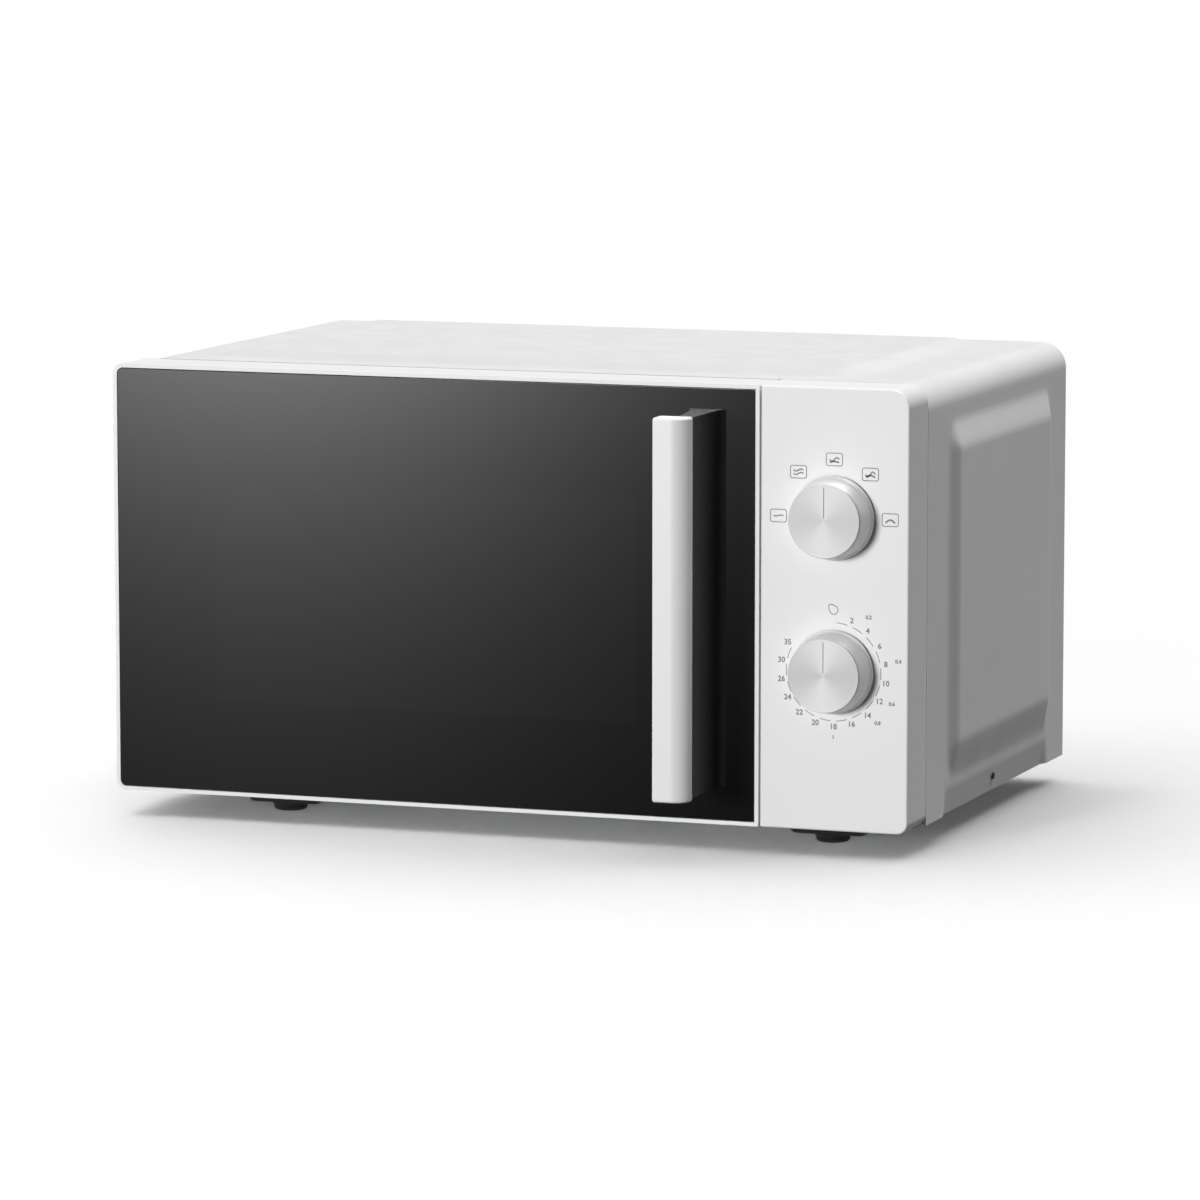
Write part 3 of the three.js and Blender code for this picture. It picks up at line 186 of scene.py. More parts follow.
def inset_plate(bm, u, v, radii, levels, place, steps=8):
    """A plate from (inset, depth) levels of one rounded outline; place puts (u, v, depth) in space."""
    rings = []
    for inset, depth in levels:
        shrunk = [max(radius - inset, 0) for radius in radii]
        outline = rounded(u[0] + inset, u[1] - inset, v[0] + inset, v[1] - inset, shrunk, steps)
        rings.append([place(a, b, depth) for a, b in outline])
    return skin(bm, rings)


def upright(u, v, depth):
    return Vector((u, depth, v))


def lathe(bm, profile, centre, axis, steps=96):
    """Turns (radius, along) points about an axis through a centre; a radius of 0 closes on the axis."""
    along = Vector(axis).normalized()
    side = along.orthogonal().normalized()
    across = along.cross(side)
    rows = []
    for radius, distance in profile:
        base = Vector(centre) + along * distance
        if radius == 0:
            rows.append([bm.verts.new(base)])
            continue
        turns = [2 * math.pi * i / steps for i in range(steps)]
        rims = [side * math.cos(t) + across * math.sin(t) for t in turns]
        rows.append([bm.verts.new(base + rim * radius) for rim in rims])
    for near, far in zip(rows, rows[1:]):
        for i in range(steps):
            j = (i + 1) % steps
            if len(near) == 1:
                bm.faces.new((near[0], far[j], far[i]))
            elif len(far) == 1:
                bm.faces.new((near[i], near[j], far[0]))
            else:
                bm.faces.new((near[i], near[j], far[j], far[i]))
    return rows


def bezier(p0, p1, p2, p3, count):
    """Points on a cubic curve, its end left out."""
    points = []
    for i in range(count):
        t = i / count
        weights = ((1 - t) ** 3, 3 * t * (1 - t) ** 2, 3 * t * t * (1 - t), t**3)
        points.append(tuple(sum(w * p[k] for w, p in zip(weights, (p0, p1, p2, p3))) for k in (0, 1)))
    return points


def shrunk(points, inset):
    """A convex outline moved inwards by inset."""
    moved = []
    count = len(points)
    for i in range(count):
        before = Vector(points[i - 1])
        here = Vector(points[i])
        after = Vector(points[(i + 1) % count])
        one = (here - before).normalized()
        two = (after - here).normalized()
        normal = Vector((-(one.y + two.y), one.x + two.x)).normalized()
        lean = max(normal.dot(Vector((-one.y, one.x))), 0.5)
        moved.append(tuple(here + normal * inset / lean))
    return moved


def object_of(name, bm, material, sharp=35.0, facing=True):
    """Makes an object of a bmesh; facing turns a closed body's faces outwards."""
    if facing:
        bmesh.ops.recalc_face_normals(bm, faces=bm.faces)
    mesh = bpy.data.meshes.new(name)
    bm.to_mesh(mesh)
    bm.free()
    mesh.materials.append(material)
    mesh.shade_smooth()
    mesh.set_sharp_from_angle(angle=math.radians(sharp))
    obj = bpy.data.objects.new(name, mesh)
    bpy.context.scene.collection.objects.link(obj)
    if facing:
        even_normals(obj)
        settled(obj)
    return obj


def even_normals(obj):
    """Keeps large flat faces flat where a small rounding meets them."""
    evened = obj.modifiers.new("normals", "WEIGHTED_NORMAL")
    evened.keep_sharp = True
    evened.weight = 100


def settled(obj, sharp=None):
    """Applies an object's modifiers to its mesh."""
    graph = bpy.context.evaluated_depsgraph_get()
    mesh = bpy.data.meshes.new_from_object(obj.evaluated_get(graph), depsgraph=graph)
    obj.modifiers.clear()
    obj.data = mesh
    if sharp is not None:
        mesh.shade_smooth()
        mesh.set_sharp_from_angle(angle=math.radians(sharp))
    return obj


def stroke(bm, points, width, y, closed=False, thick=0.03 * MM):
    """A printed line of a width through (x, z) points on a plane that faces -Y."""
    count = len(points)
    rows = []
    for i, point in enumerate(points):
        here = Vector(point)
        before = Vector(points[i - 1])
        after = Vector(points[(i + 1) % count])
        if not closed and i == 0:
            before = here * 2 - Vector(points[1])
        if not closed and i == count - 1:
            after = here * 2 - Vector(points[i - 1])
        one = (here - before).normalized()
        two = (after - here).normalized()
        normal = Vector((-(one.y + two.y), one.x + two.x)).normalized()
        lean = max(normal.dot(Vector((-one.y, one.x))), 0.5)
        half = normal * width / 2 / lean
        edge = [here - half, here + half]
        ring = [Vector((p.x, y, p.y)) for p in edge] + [Vector((p.x, y - thick, p.y)) for p in reversed(edge)]
        rows.append(ring)
    skin(bm, rows, looped=closed)


def figure(bm, text, height, x, y, z):
    """A number printed upright on a plane that faces -Y, centred on a point."""
    curve = bpy.data.curves.new("figure", "FONT")
    curve.body = text
    curve.size = height * 1.4
    curve.align_x = "CENTER"
    curve.align_y = "CENTER"
    curve.extrude = 0.015 * MM
    curve.offset = 0.11 * MM
    curve.resolution_u = 3
    holder = bpy.data.objects.new("figure", curve)
    bpy.context.scene.collection.objects.link(holder)
    graph = bpy.context.evaluated_depsgraph_get()
    mesh = bpy.data.meshes.new_from_object(holder.evaluated_get(graph), depsgraph=graph)
    mesh.transform(Matrix.Translation((x, y - 0.015 * MM, z)) @ Matrix.Rotation(QUARTER, 4, "X"))
    bm.from_mesh(mesh)
    bpy.data.objects.remove(holder)
    bpy.data.curves.remove(curve)
    bpy.data.meshes.remove(mesh)


def softened(node, name, material, width, steps=2, sharp=35.0):
    """A copy of a frame node with its sharp edges rounded, which stands for that node."""
    bm = bmesh.new()
    bm.from_mesh(frame["nodes"][node].data)
    bmesh.ops.remove_doubles(bm, verts=bm.verts, dist=0.002 * MM)
    bmesh.ops.dissolve_limit(bm, angle_limit=math.radians(0.5), verts=bm.verts, edges=bm.edges)
    obj = object_of(name, bm, material, facing=False)
    bevel = obj.modifiers.new("edges", "BEVEL")
    bevel.width = width
    bevel.segments = steps
    bevel.limit_method = "ANGLE"
    bevel.angle_limit = math.radians(32)
    bevel.use_clamp_overlap = True
    settled(obj, sharp)
    even_normals(obj)
    settled(obj)
    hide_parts(node)
    return obj


def finished(obj, body, slot, *nodes):
    """Puts a piece on its body and hides the frame nodes it stands for; its slot argument is not used."""
    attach(obj, body)
    if nodes:
        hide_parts(*nodes)
    return obj


# ---------------------------------------------------------------- geometry node trees


class Tree:
    """A geometry node tree with named inputs that ends in Realize Instances and Set Material."""

    def __init__(self, name):
        self.tree = bpy.data.node_groups.new(name, "GeometryNodeTree")
        self.inputs = {}
        self.add_input("Places", "NodeSocketGeometry")
        self.tree.interface.new_socket("Geometry", in_out="OUTPUT", socket_type="NodeSocketGeometry")
        self.start = self.tree.nodes.new("NodeGroupInput")
        self.end = self.tree.nodes.new("NodeGroupOutput")

    def add_input(self, name, kind):
        self.inputs[name] = self.tree.interface.new_socket(name, in_out="INPUT", socket_type=kind).identifier

    def node(self, kind, links=(), **settings):
        made = self.tree.nodes.new(kind)
        for key, value in settings.items():
            setattr(made, key, value)
        for socket, source in links:
            if hasattr(source, "is_output"):
                self.tree.links.new(source, made.inputs[socket])
            else:
                made.inputs[socket].default_value = source
        return made

    def value(self, name):
        return self.start.outputs[name]

    def math(self, operation, one, two):
        return self.node("ShaderNodeMath", ((0, one), (1, two)), operation=operation).outputs[0]

    def close(self, geometry):
        real = self.node("GeometryNodeRealizeInstances", (("Geometry", geometry),))
        painted = self.node(
            "GeometryNodeSetMaterial",
            (("Geometry", real.outputs[0]), ("Material", self.value("Material"))),
        )
        self.tree.links.new(painted.outputs[0], self.end.inputs[0])


def screw_tree():
    """Cross-headed screws on every place, each turned towards its facing attribute."""
    tree = Tree("cross_head_screws")
    tree.add_input("Radius", "NodeSocketFloat")
    tree.add_input("Height", "NodeSocketFloat")
    tree.add_input("Seed", "NodeSocketInt")
    tree.add_input("Material", "NodeSocketMaterial")
    radius = tree.value("Radius")
    height = tree.value("Height")
    dome = tree.node(
        "GeometryNodeMeshCone",
        (
            ("Vertices", 28),
            ("Side Segments", 1),
            ("Radius Top", tree.math("MULTIPLY", radius, 0.72)),
            ("Radius Bottom", radius),
            ("Depth", height),
        ),
        fill_type="NGON",
    )
    arm = tree.math("MULTIPLY", radius, 1.05)
    gap = tree.math("MULTIPLY", radius, 0.24)
    size = tree.node("ShaderNodeCombineXYZ", (("X", arm), ("Y", gap), ("Z", height)))
    across = tree.node("ShaderNodeCombineXYZ", (("X", gap), ("Y", arm), ("Z", height)))
    lift = tree.node("ShaderNodeCombineXYZ", (("Z", tree.math("MULTIPLY", height, 0.95)),))
    bars = []
    for vector in (size, across):
        cube = tree.node("GeometryNodeMeshCube", (("Size", vector.outputs[0]),))
        bar = tree.node(
            "GeometryNodeTransform",
            (("Geometry", cube.outputs["Mesh"]), ("Translation", lift.outputs[0])),
        )
        bars.append(bar.outputs[0])
    head = tree.node("GeometryNodeMeshBoolean", (("Mesh 1", dome.outputs["Mesh"]),), operation="DIFFERENCE")
    for bar in bars:
        tree.tree.links.new(bar, head.inputs["Mesh 2"])
    facing = tree.node("GeometryNodeInputNamedAttribute", (("Name", "facing"),), data_type="FLOAT_VECTOR")
    aim = tree.node("FunctionNodeAlignRotationToVector", (("Vector", facing.outputs[0]),), axis="Z")
    spin = tree.node(
        "FunctionNodeRandomValue",
        (("Seed", tree.value("Seed")), (2, 0.0), (3, math.pi)),
        data_type="FLOAT",
    )
    turn = tree.node("ShaderNodeCombineXYZ", (("Z", spin.outputs[1]),))
    rotated = tree.node(
        "FunctionNodeRotateRotation",
        (("Rotation", aim.outputs[0]), ("Rotate By", turn.outputs[0])),
        rotation_space="LOCAL",
    )
    placed = tree.node(
        "GeometryNodeInstanceOnPoints",
        (
            ("Points", tree.value("Places")),
            ("Instance", head.outputs["Mesh"]),
            ("Rotation", rotated.outputs[0]),
        ),
    )
    tree.close(placed.outputs[0])
    return tree


def hole_tree():
    """Small raised dark discs on every place, each turned towards its facing attribute: painted shade
    standing in for holes.
    """
    tree = Tree("rows_of_hole_shades")
    tree.add_input("Radius", "NodeSocketFloat")
    tree.add_input("Height", "NodeSocketFloat")
    tree.add_input("Sides", "NodeSocketInt")
    tree.add_input("Material", "NodeSocketMaterial")
    disc = tree.node(
        "GeometryNodeMeshCylinder",
        (
            ("Vertices", tree.value("Sides")),
            ("Radius", tree.value("Radius")),
            ("Depth", tree.value("Height")),
        ),
        fill_type="NGON",
    )
    facing = tree.node("GeometryNodeInputNamedAttribute", (("Name", "facing"),), data_type="FLOAT_VECTOR")
    aim = tree.node("FunctionNodeAlignRotationToVector", (("Vector", facing.outputs[0]),), axis="Z")
    placed = tree.node(
        "GeometryNodeInstanceOnPoints",
        (
            ("Points", tree.value("Places")),
            ("Instance", disc.outputs["Mesh"]),
            ("Rotation", aim.outputs[0]),
        ),
    )
    tree.close(placed.outputs[0])
    return tree


def scattered(name, tree, places, material, **values):
    """One mesh of a tree's instances on (point, facing) places."""
    mesh = bpy.data.meshes.new(name)
    mesh.from_pydata([point for point, _ in places], [], [])
    facing = mesh.attributes.new("facing", "FLOAT_VECTOR", "POINT")
    facing.data.foreach_set("vector", [c for _, towards in places for c in towards])
    obj = bpy.data.objects.new(name, mesh)
    bpy.context.scene.collection.objects.link(obj)
    modifier = obj.modifiers.new("scatter", "NODES")
    modifier.node_group = tree.tree
    modifier[tree.inputs["Material"]] = material
    for key, value in values.items():
        modifier[tree.inputs[key]] = value
    settled(obj, 30.0)
    return obj


def grid(u, v, pitch, staggered=True):
    """(u, v) places on a regular grid inside two ranges."""
    columns = int((u[1] - u[0]) / pitch)
    rows = int((v[1] - v[0]) / pitch)
    left = (u[0] + u[1] - columns * pitch) / 2
    low = (v[0] + v[1] - rows * pitch) / 2
    shift = pitch / 2 if staggered else 0
    return [
        (left + column * pitch + shift * (row % 2), low + row * pitch)
        for row in range(rows + 1)
        for column in range(columns + (0 if row % 2 and staggered else 1))
    ]


# ---------------------------------------------------------------- materials


class Finish:
    """A principled material whose pattern nodes are added one at a time."""

    def __init__(self, name, colour, roughness, metallic=0.0, **sockets):
        self.material = bpy.data.materials.new(name)
        self.material.use_nodes = True
        self.nodes = self.material.node_tree.nodes
        self.links = self.material.node_tree.links
        self.shader = self.nodes["Principled BSDF"]
        self.colour = (*colour, 1.0)
        self.shader.inputs["Base Color"].default_value = self.colour
        self.shader.inputs["Roughness"].default_value = roughness
        self.shader.inputs["Metallic"].default_value = metallic
        for key, value in sockets.items():
            self.shader.inputs[key.replace("_", " ")].default_value = value
        self.material.diffuse_color = self.colour
        self.roughness = roughness
        self.normal = None

    def add(self, kind, links=(), **settings):
        made = self.nodes.new(kind)
        for key, value in settings.items():
            setattr(made, key, value)
        for socket, source in links:
            if hasattr(source, "is_output"):
                self.links.new(source, made.inputs[socket])
            else:
                made.inputs[socket].default_value = source
        return made

    def place(self, scale=(1, 1, 1), turn=(0, 0, 0), centre=(0, 0, 0)):
        """Object coordinates, moved to a centre, turned and stretched."""
        here = self.add("ShaderNodeTexCoord").outputs["Object"]
        moved = self.add("ShaderNodeVectorMath", ((0, here), (1, centre)), operation="SUBTRACT")
        mapped = self.add(
            "ShaderNodeMapping", (("Vector", moved.outputs[0]), ("Rotation", turn), ("Scale", scale))
        )
        return mapped.outputs[0]

    def noise(self, scale, detail=3.0, place=None):
        made = self.add("ShaderNodeTexNoise", (("Scale", scale), ("Detail", detail)))
        self.links.new(place or self.place(), made.inputs["Vector"])
        return made.outputs["Fac"]

    def ramp(self, source, low, high, start=0.35, end=0.65):
        """source, from start to end, spread over low to high."""
        return self.add(
            "ShaderNodeMapRange",
            (("Value", source), ("From Min", start), ("From Max", end), ("To Min", low), ("To Max", high)),
        ).outputs[0]

    def tint(self, source, factor, start=0.35, end=0.65):
        """Mixes the base colour towards factor times itself where source is high."""
        mix = self.add("ShaderNodeMix", data_type="RGBA")
        self.links.new(self.ramp(source, 0.0, 1.0, start, end), mix.inputs["Factor"])
        present = self.shader.inputs["Base Color"]
        if present.is_linked:
            self.links.new(present.links[0].from_socket, mix.inputs[6])
        else:
            mix.inputs[6].default_value = self.colour
        if isinstance(factor, (int, float)):
            factor = [channel * factor for channel in self.colour[:3]]
        mix.inputs[7].default_value = (*factor, 1.0)
        self.links.new(mix.outputs[2], present)
        return self

    def rough(self, source, spread, start=0.35, end=0.65):
        low = max(self.roughness - spread, 0.0)
        varied = self.ramp(source, low, self.roughness + spread, start, end)
        self.links.new(varied, self.shader.inputs["Roughness"])
        return self

    def bump(self, source, distance, strength=1.0):
        """Adds a height pattern to whatever bumps came before."""
        made = self.add(
            "ShaderNodeBump", (("Height", source), ("Distance", distance), ("Strength", strength))
        )
        if self.normal:
            self.links.new(self.normal, made.inputs["Normal"])
        self.normal = made.outputs[0]
        self.links.new(self.normal, self.shader.inputs["Normal"])
        return self

    def worn(self, factor, low=0.52, high=0.62):
        """Changes the tone a little along edges, as handling does."""
        edge = self.add("ShaderNodeNewGeometry").outputs["Pointiness"]
        return self.tint(edge, factor, low, high)


def painted_sheet(name, colour, gloss=0.42):
    """Satin powder coat: a fine orange peel, faint drift in tone and slightly paler edges."""
    made = Finish(name, colour, gloss, Specular_IOR_Level=0.35)
    made.tint(made.noise(7.0, 2.0), 0.975)
    made.rough(made.noise(55.0), 0.05)
    made.bump(made.noise(900.0, 2.0), 0.012 * MM, 0.5)
    made.bump(made.noise(160.0, 1.0), 0.02 * MM, 0.4)
    return made.worn(1.02).material


def moulded(name, colour, gloss=0.35, grain=0.012, drift=0.97, **sockets):
    """Injection-moulded plastic with a fine spark-eroded grain."""
    made = Finish(name, colour, gloss, **sockets)
    made.tint(made.noise(11.0, 2.0), drift)
    made.rough(made.noise(700.0, 3.0), 0.05)
    made.bump(made.noise(1500.0, 3.0), grain * MM, 0.6)
    return made.worn(1.06 if max(colour) > 0.3 else 2.2).material


def rolled(name, colour, gloss=0.34, along=(1, 1, 1), metallic=1.0):
    """Rolled sheet metal with fine lines drawn along one direction."""
    made = Finish(name, colour, gloss, metallic)
    lines = made.noise(220.0, 4.0, made.place(scale=along))
    made.tint(lines, 0.82)
    made.rough(made.noise(25.0), 0.09)
    made.bump(lines, 0.006 * MM, 0.5)
    return made.material


def zinc(name, colour=(0.50, 0.52, 0.54)):
    """Zinc-coated sheet with a faint spangle."""
    made = Finish(name, colour, 0.4, 0.9)
    cells = made.add("ShaderNodeTexVoronoi", (("Vector", made.place()), ("Scale", 190.0)))
    made.tint(cells.outputs["Color"], 0.86, 0.2, 0.8)
    made.tint(made.noise(14.0), 0.94)
    made.rough(cells.outputs["Color"], 0.07, 0.0, 1.0)
    made.bump(made.noise(700.0), 0.006 * MM, 0.4)
    return made.material


def spun(name, colour, node, gloss=0.62, metallic=0.75):
    """Turned aluminium: fine rings about a dial's axis and the streaks that they give."""
    centre = middle(node)
    made = Finish(name, colour, gloss, metallic, Anisotropic=0.6, Anisotropic_Rotation=0.25)
    tangent = made.add("ShaderNodeTangent", direction_type="RADIAL", axis="Y")
    made.links.new(tangent.outputs[0], made.shader.inputs["Tangent"])
    place = made.place(centre=centre)
    rings = made.add(
        "ShaderNodeTexWave",
        (("Vector", place), ("Scale", 900.0), ("Distortion", 0.6), ("Detail", 2.0)),
        wave_type="RINGS",
        rings_direction="Y",
    )
    made.tint(made.noise(18.0, 2.0, place), 0.97)
    made.rough(rings.outputs["Fac"], 0.03, 0.0, 1.0)
    made.bump(rings.outputs["Fac"], 0.002 * MM, 0.2)
    return made.material


def banded(name, colour, gloss, metallic, direction, pitch, depth, dark=0.55):
    """Stacked plates or wound wire: bands of a pitch along X, Y or Z."""
    made = Finish(name, colour, gloss, metallic)
    bands = made.add(
        "ShaderNodeTexWave",
        (("Vector", made.place()), ("Scale", 1 / pitch / math.pi * 0.5), ("Distortion", 0.15)),
        bands_direction=direction,
        wave_profile="SIN",
    )
    made.tint(bands.outputs["Fac"], dark, 0.1, 0.5)
    made.rough(made.noise(60.0), 0.08)
    made.bump(bands.outputs["Fac"], depth, 0.8)
    return made.material


def flaky(name, colour):
    """Pressed mica: overlapping pale flakes."""
    made = Finish(name, colour, 0.5)
    cells = made.add("ShaderNodeTexVoronoi", (("Vector", made.place()), ("Scale", 240.0)))
    made.tint(cells.outputs["Color"], 1.35, 0.2, 0.8)
    made.tint(made.noise(35.0), 0.8)
    made.bump(cells.outputs["Distance"], 0.02 * MM, 0.5)
    return made.material


def board(name, colour):
    """A circuit board with tracks under its lacquer."""
    made = Finish(name, colour, 0.32)
    tracks = made.add(
        "ShaderNodeTexBrick",
        (("Vector", made.place(turn=(QUARTER, 0, 0))), ("Scale", 110.0), ("Mortar Size", 0.03)),
    )
    made.tint(tracks.outputs["Fac"], 1.8, 0.3, 0.7)
    made.rough(made.noise(80.0), 0.06)
    made.bump(tracks.outputs["Fac"], 0.03 * MM, 0.6)
    return made.material


def enamelled(name, colour):
    """Baked enamel inside the oven, a little speckled."""
    made = Finish(name, colour, 0.3, Specular_IOR_Level=0.5)
    made.tint(made.noise(1300.0, 2.0), 0.90)
    made.tint(made.noise(9.0, 2.0), 0.98, 0.2, 0.8)
    made.rough(made.noise(700.0), 0.03)
    made.bump(made.noise(700.0, 2.0), 0.006 * MM, 0.5)
    return made.material


def dark_glass(name, colour):
    """Door glass: polished, with a dark print behind it and a paler, dotted window."""
    sizes = bpy.context.scene.oven_door
    made = Finish(name, colour, 0.045, IOR=1.5)
    (left, right), _, (low, high) = span("door_inner_window")
    drop = 5.5 * MM
    side_border = 15 * MM
    end_border = 25 * MM
    blur = 0.4 * MM
    centre = ((left + right) / 2, 0, (low + high) / 2 - drop)
    place = made.place(centre=centre)
    split = made.add("ShaderNodeSeparateXYZ", ((0, place),))
    sides = []
    for axis, half in ((0, (right - left) / 2 - side_border), (2, (high - low) / 2 - end_border)):
        size = made.add("ShaderNodeMath", ((0, split.outputs[axis]),), operation="ABSOLUTE")
        sides.append(made.ramp(size.outputs[0], 1.0, 0.0, half - blur, half + blur))
    window = made.add("ShaderNodeMath", ((0, sides[0]), (1, sides[1])), operation="MULTIPLY").outputs[0]
    dots = made.add(
        "ShaderNodeTexVoronoi",
        (("Vector", place), ("Scale", 1 / sizes.hole_pitch), ("Randomness", 0.0)),
    )
    spot = made.ramp(dots.outputs["Distance"], 1.0, 0.55, 0.25, 0.4)
    shown = made.add("ShaderNodeMath", ((0, window), (1, spot)), operation="MULTIPLY").outputs[0]
    made.tint(shown, 1.75, 0.0, 1.0)
    made.rough(made.noise(6.0, 2.0), 0.012)
    made.bump(made.noise(3.0, 1.0), 0.02 * MM, 0.2)
    return made.material


def clear_glass(name, colour, roughness=0.03):
    """Pressed clear glass with slight ripples."""
    made = Finish(name, colour, roughness, IOR=1.5, Transmission_Weight=1.0)
    made.rough(made.noise(40.0), 0.02)
    made.bump(made.noise(30.0, 1.0), 0.05 * MM, 0.3)
    return made.material


def clear_film(name, colour):
    """The thin clear sheet over the door's screen."""
    made = Finish(name, colour, 0.12, Transmission_Weight=1.0, IOR=1.2)
    made.rough(made.noise(15.0), 0.03)
    made.bump(made.noise(8.0, 1.0), 0.02 * MM, 0.2)
    return made.material


FINISHES = {}


def make_finishes():
    """All of the oven's finishes, by the name of their record slot."""
    cabinet = bpy.context.scene.oven_cabinet
    door = bpy.context.scene.oven_door
    dials = bpy.context.scene.oven_dials
    FINISHES.update(
        white_paint=painted_sheet("satin_white_paint", cabinet.paint),
        white_plastic=moulded("white_moulding", door.moulding, 0.42, 0.008, 0.985, Specular_IOR_Level=0.35),
        handle_white=moulded("handle_white", door.moulding, 0.34, 0.004, 0.99, Specular_IOR_Level=0.4),
        black_plastic=moulded("black_plastic", (0.003, 0.003, 0.0031), 0.5, 0.012, Specular_IOR_Level=0.3),
        dark_glass=dark_glass("dark_door_glass", door.glass),
        inner_film=clear_film("clear_film", (0.86, 0.88, 0.88)),
        dial_silver=spun("turned_dial", dials.metal, "power_knob"),
        steel=rolled("bright_steel", (0.45, 0.46, 0.47), 0.3, (1, 1, 12)),
        zinc_steel=zinc("zinc_coated_steel"),
        cavity_paint=enamelled("cavity_enamel", (0.62, 0.64, 0.66)),
        base_paint=painted_sheet("black_base_paint", (0.006, 0.006, 0.0062), 0.55),
        rubber=moulded("foot_rubber", (0.007, 0.007, 0.007), 0.7, 0.03, 0.8, Specular_IOR_Level=0.25),
        mica=flaky("mica_sheet", (0.50, 0.43, 0.31)),
        copper=banded("copper_winding", (0.55, 0.25, 0.14), 0.35, 0.9, "Z", 0.9 * MM, 0.12 * MM),
        enamelled_wire=banded("enamelled_wire", (0.30, 0.10, 0.05), 0.3, 0.4, "Z", 1.6 * MM, 0.2 * MM),
        laminations=banded("laminated_core", (0.13, 0.13, 0.14), 0.45, 0.7, "Y", 0.7 * MM, 0.05 * MM),
        aluminium_can=rolled("drawn_can", (0.66, 0.67, 0.68), 0.3, (12, 1, 1)),
        circuit_board=board("circuit_board", (0.05, 0.20, 0.08)),
        cream_plastic=moulded("cream_plastic", (0.72, 0.68, 0.55), 0.45, 0.01),
        grey_plastic=moulded("grey_plastic", (0.28, 0.29, 0.30), 0.45, 0.012),
        clear_glass=clear_glass("pressed_clear_glass", (0.90, 0.95, 0.94)),
        # Painted shade: a near-black finish for the discs that stand in for the inside of holes.
        hole=moulded("hole_shadow", (0.012, 0.012, 0.012), 0.8, 0.004),
        print=moulded("grey_print", dials.marks, 0.5, 0.003),
        screw=rolled("screw_steel", (0.42, 0.43, 0.44), 0.32, (1, 6, 1)),
        dark_screw=rolled("blackened_screw", (0.02, 0.02, 0.022), 0.4, (1, 6, 1), 0.6),
        timer_metal=spun("turned_timer_dial", dials.metal, "timer_knob"),
        # Painted light: the dial bodies take the dial metal 1.7 times lighter than the caps, so their sides
        # look brighter than the lamps make them.
        knob_body=spun("turned_dial_body_painted_lighter", [c * 1.7 for c in dials.metal], "power_knob", 0.5, 0.5),
        timer_body=spun("turned_timer_body_painted_lighter", [c * 1.7 for c in dials.metal], "timer_knob", 0.5, 0.5),
    )


def coat_frame_nodes():
    """Gives every frame node that still shows the finish of its record slot."""
    for row in frame["record"]["subparts"]:
        node = frame["nodes"][row["node"]]
        if node.hide_render:
            continue
        node.data.materials.clear()
        node.data.materials.append(FINISHES[row["material_slot"]])


# ---------------------------------------------------------------- cabinet


def soft_step(t):
    """0 to 1 with a straight middle and eased ends, like a bend in a pressed sheet."""
    t = min(max(t, 0.0), 1.0)
    eased = t * t * (3 - 2 * t)
    return 0.3 * eased + 0.7 * t


def pressed(u, v, foot, flat):
    """Height, 0 to 1, of a pressed panel at (u, v); foot and flat are its (u0, u1, v0, v1)."""
    falls = []
    for here, (f0, f1), (g0, g1) in ((u, foot[:2], flat[:2]), (v, foot[2:], flat[2:])):
        rise = min((here - f0) / (g0 - f0), (f1 - here) / (f1 - g1), 1.0)
        falls.append(1.0 - max(rise, -0.5))
    return soft_step(1.0 - math.hypot(*falls))


def stations(start, end, pitch):
    count = max(int(round((end - start) / pitch)), 1)
    return [start + (end - start) * i / count for i in range(count + 1)]


def cover_path(x, z, radius, pitch):
    """Points up the left side, over the top and down the right: (x, z, normal x, normal z)."""
    path = [(x[0], level, -1.0, 0.0) for level in stations(z[0], z[1] - radius, pitch)]
    for centre, start in ((x[0] + radius, math.pi), (x[1] - radius, QUARTER)):
        for i in range(1, 13):
            angle = start - QUARTER * i / 12
            normal = (math.cos(angle), math.sin(angle))
            path.append((centre + radius * normal[0], z[1] - radius + radius * normal[1], *normal))
        if start == math.pi:
            path += [(across, z[1], 0.0, 1.0) for across in stations(x[0] + radius, x[1] - radius, pitch)[1:]]
    path += [(x[1], level, 1.0, 0.0) for level in reversed(stations(z[0], z[1] - radius, pitch)[:-1])]
    return path


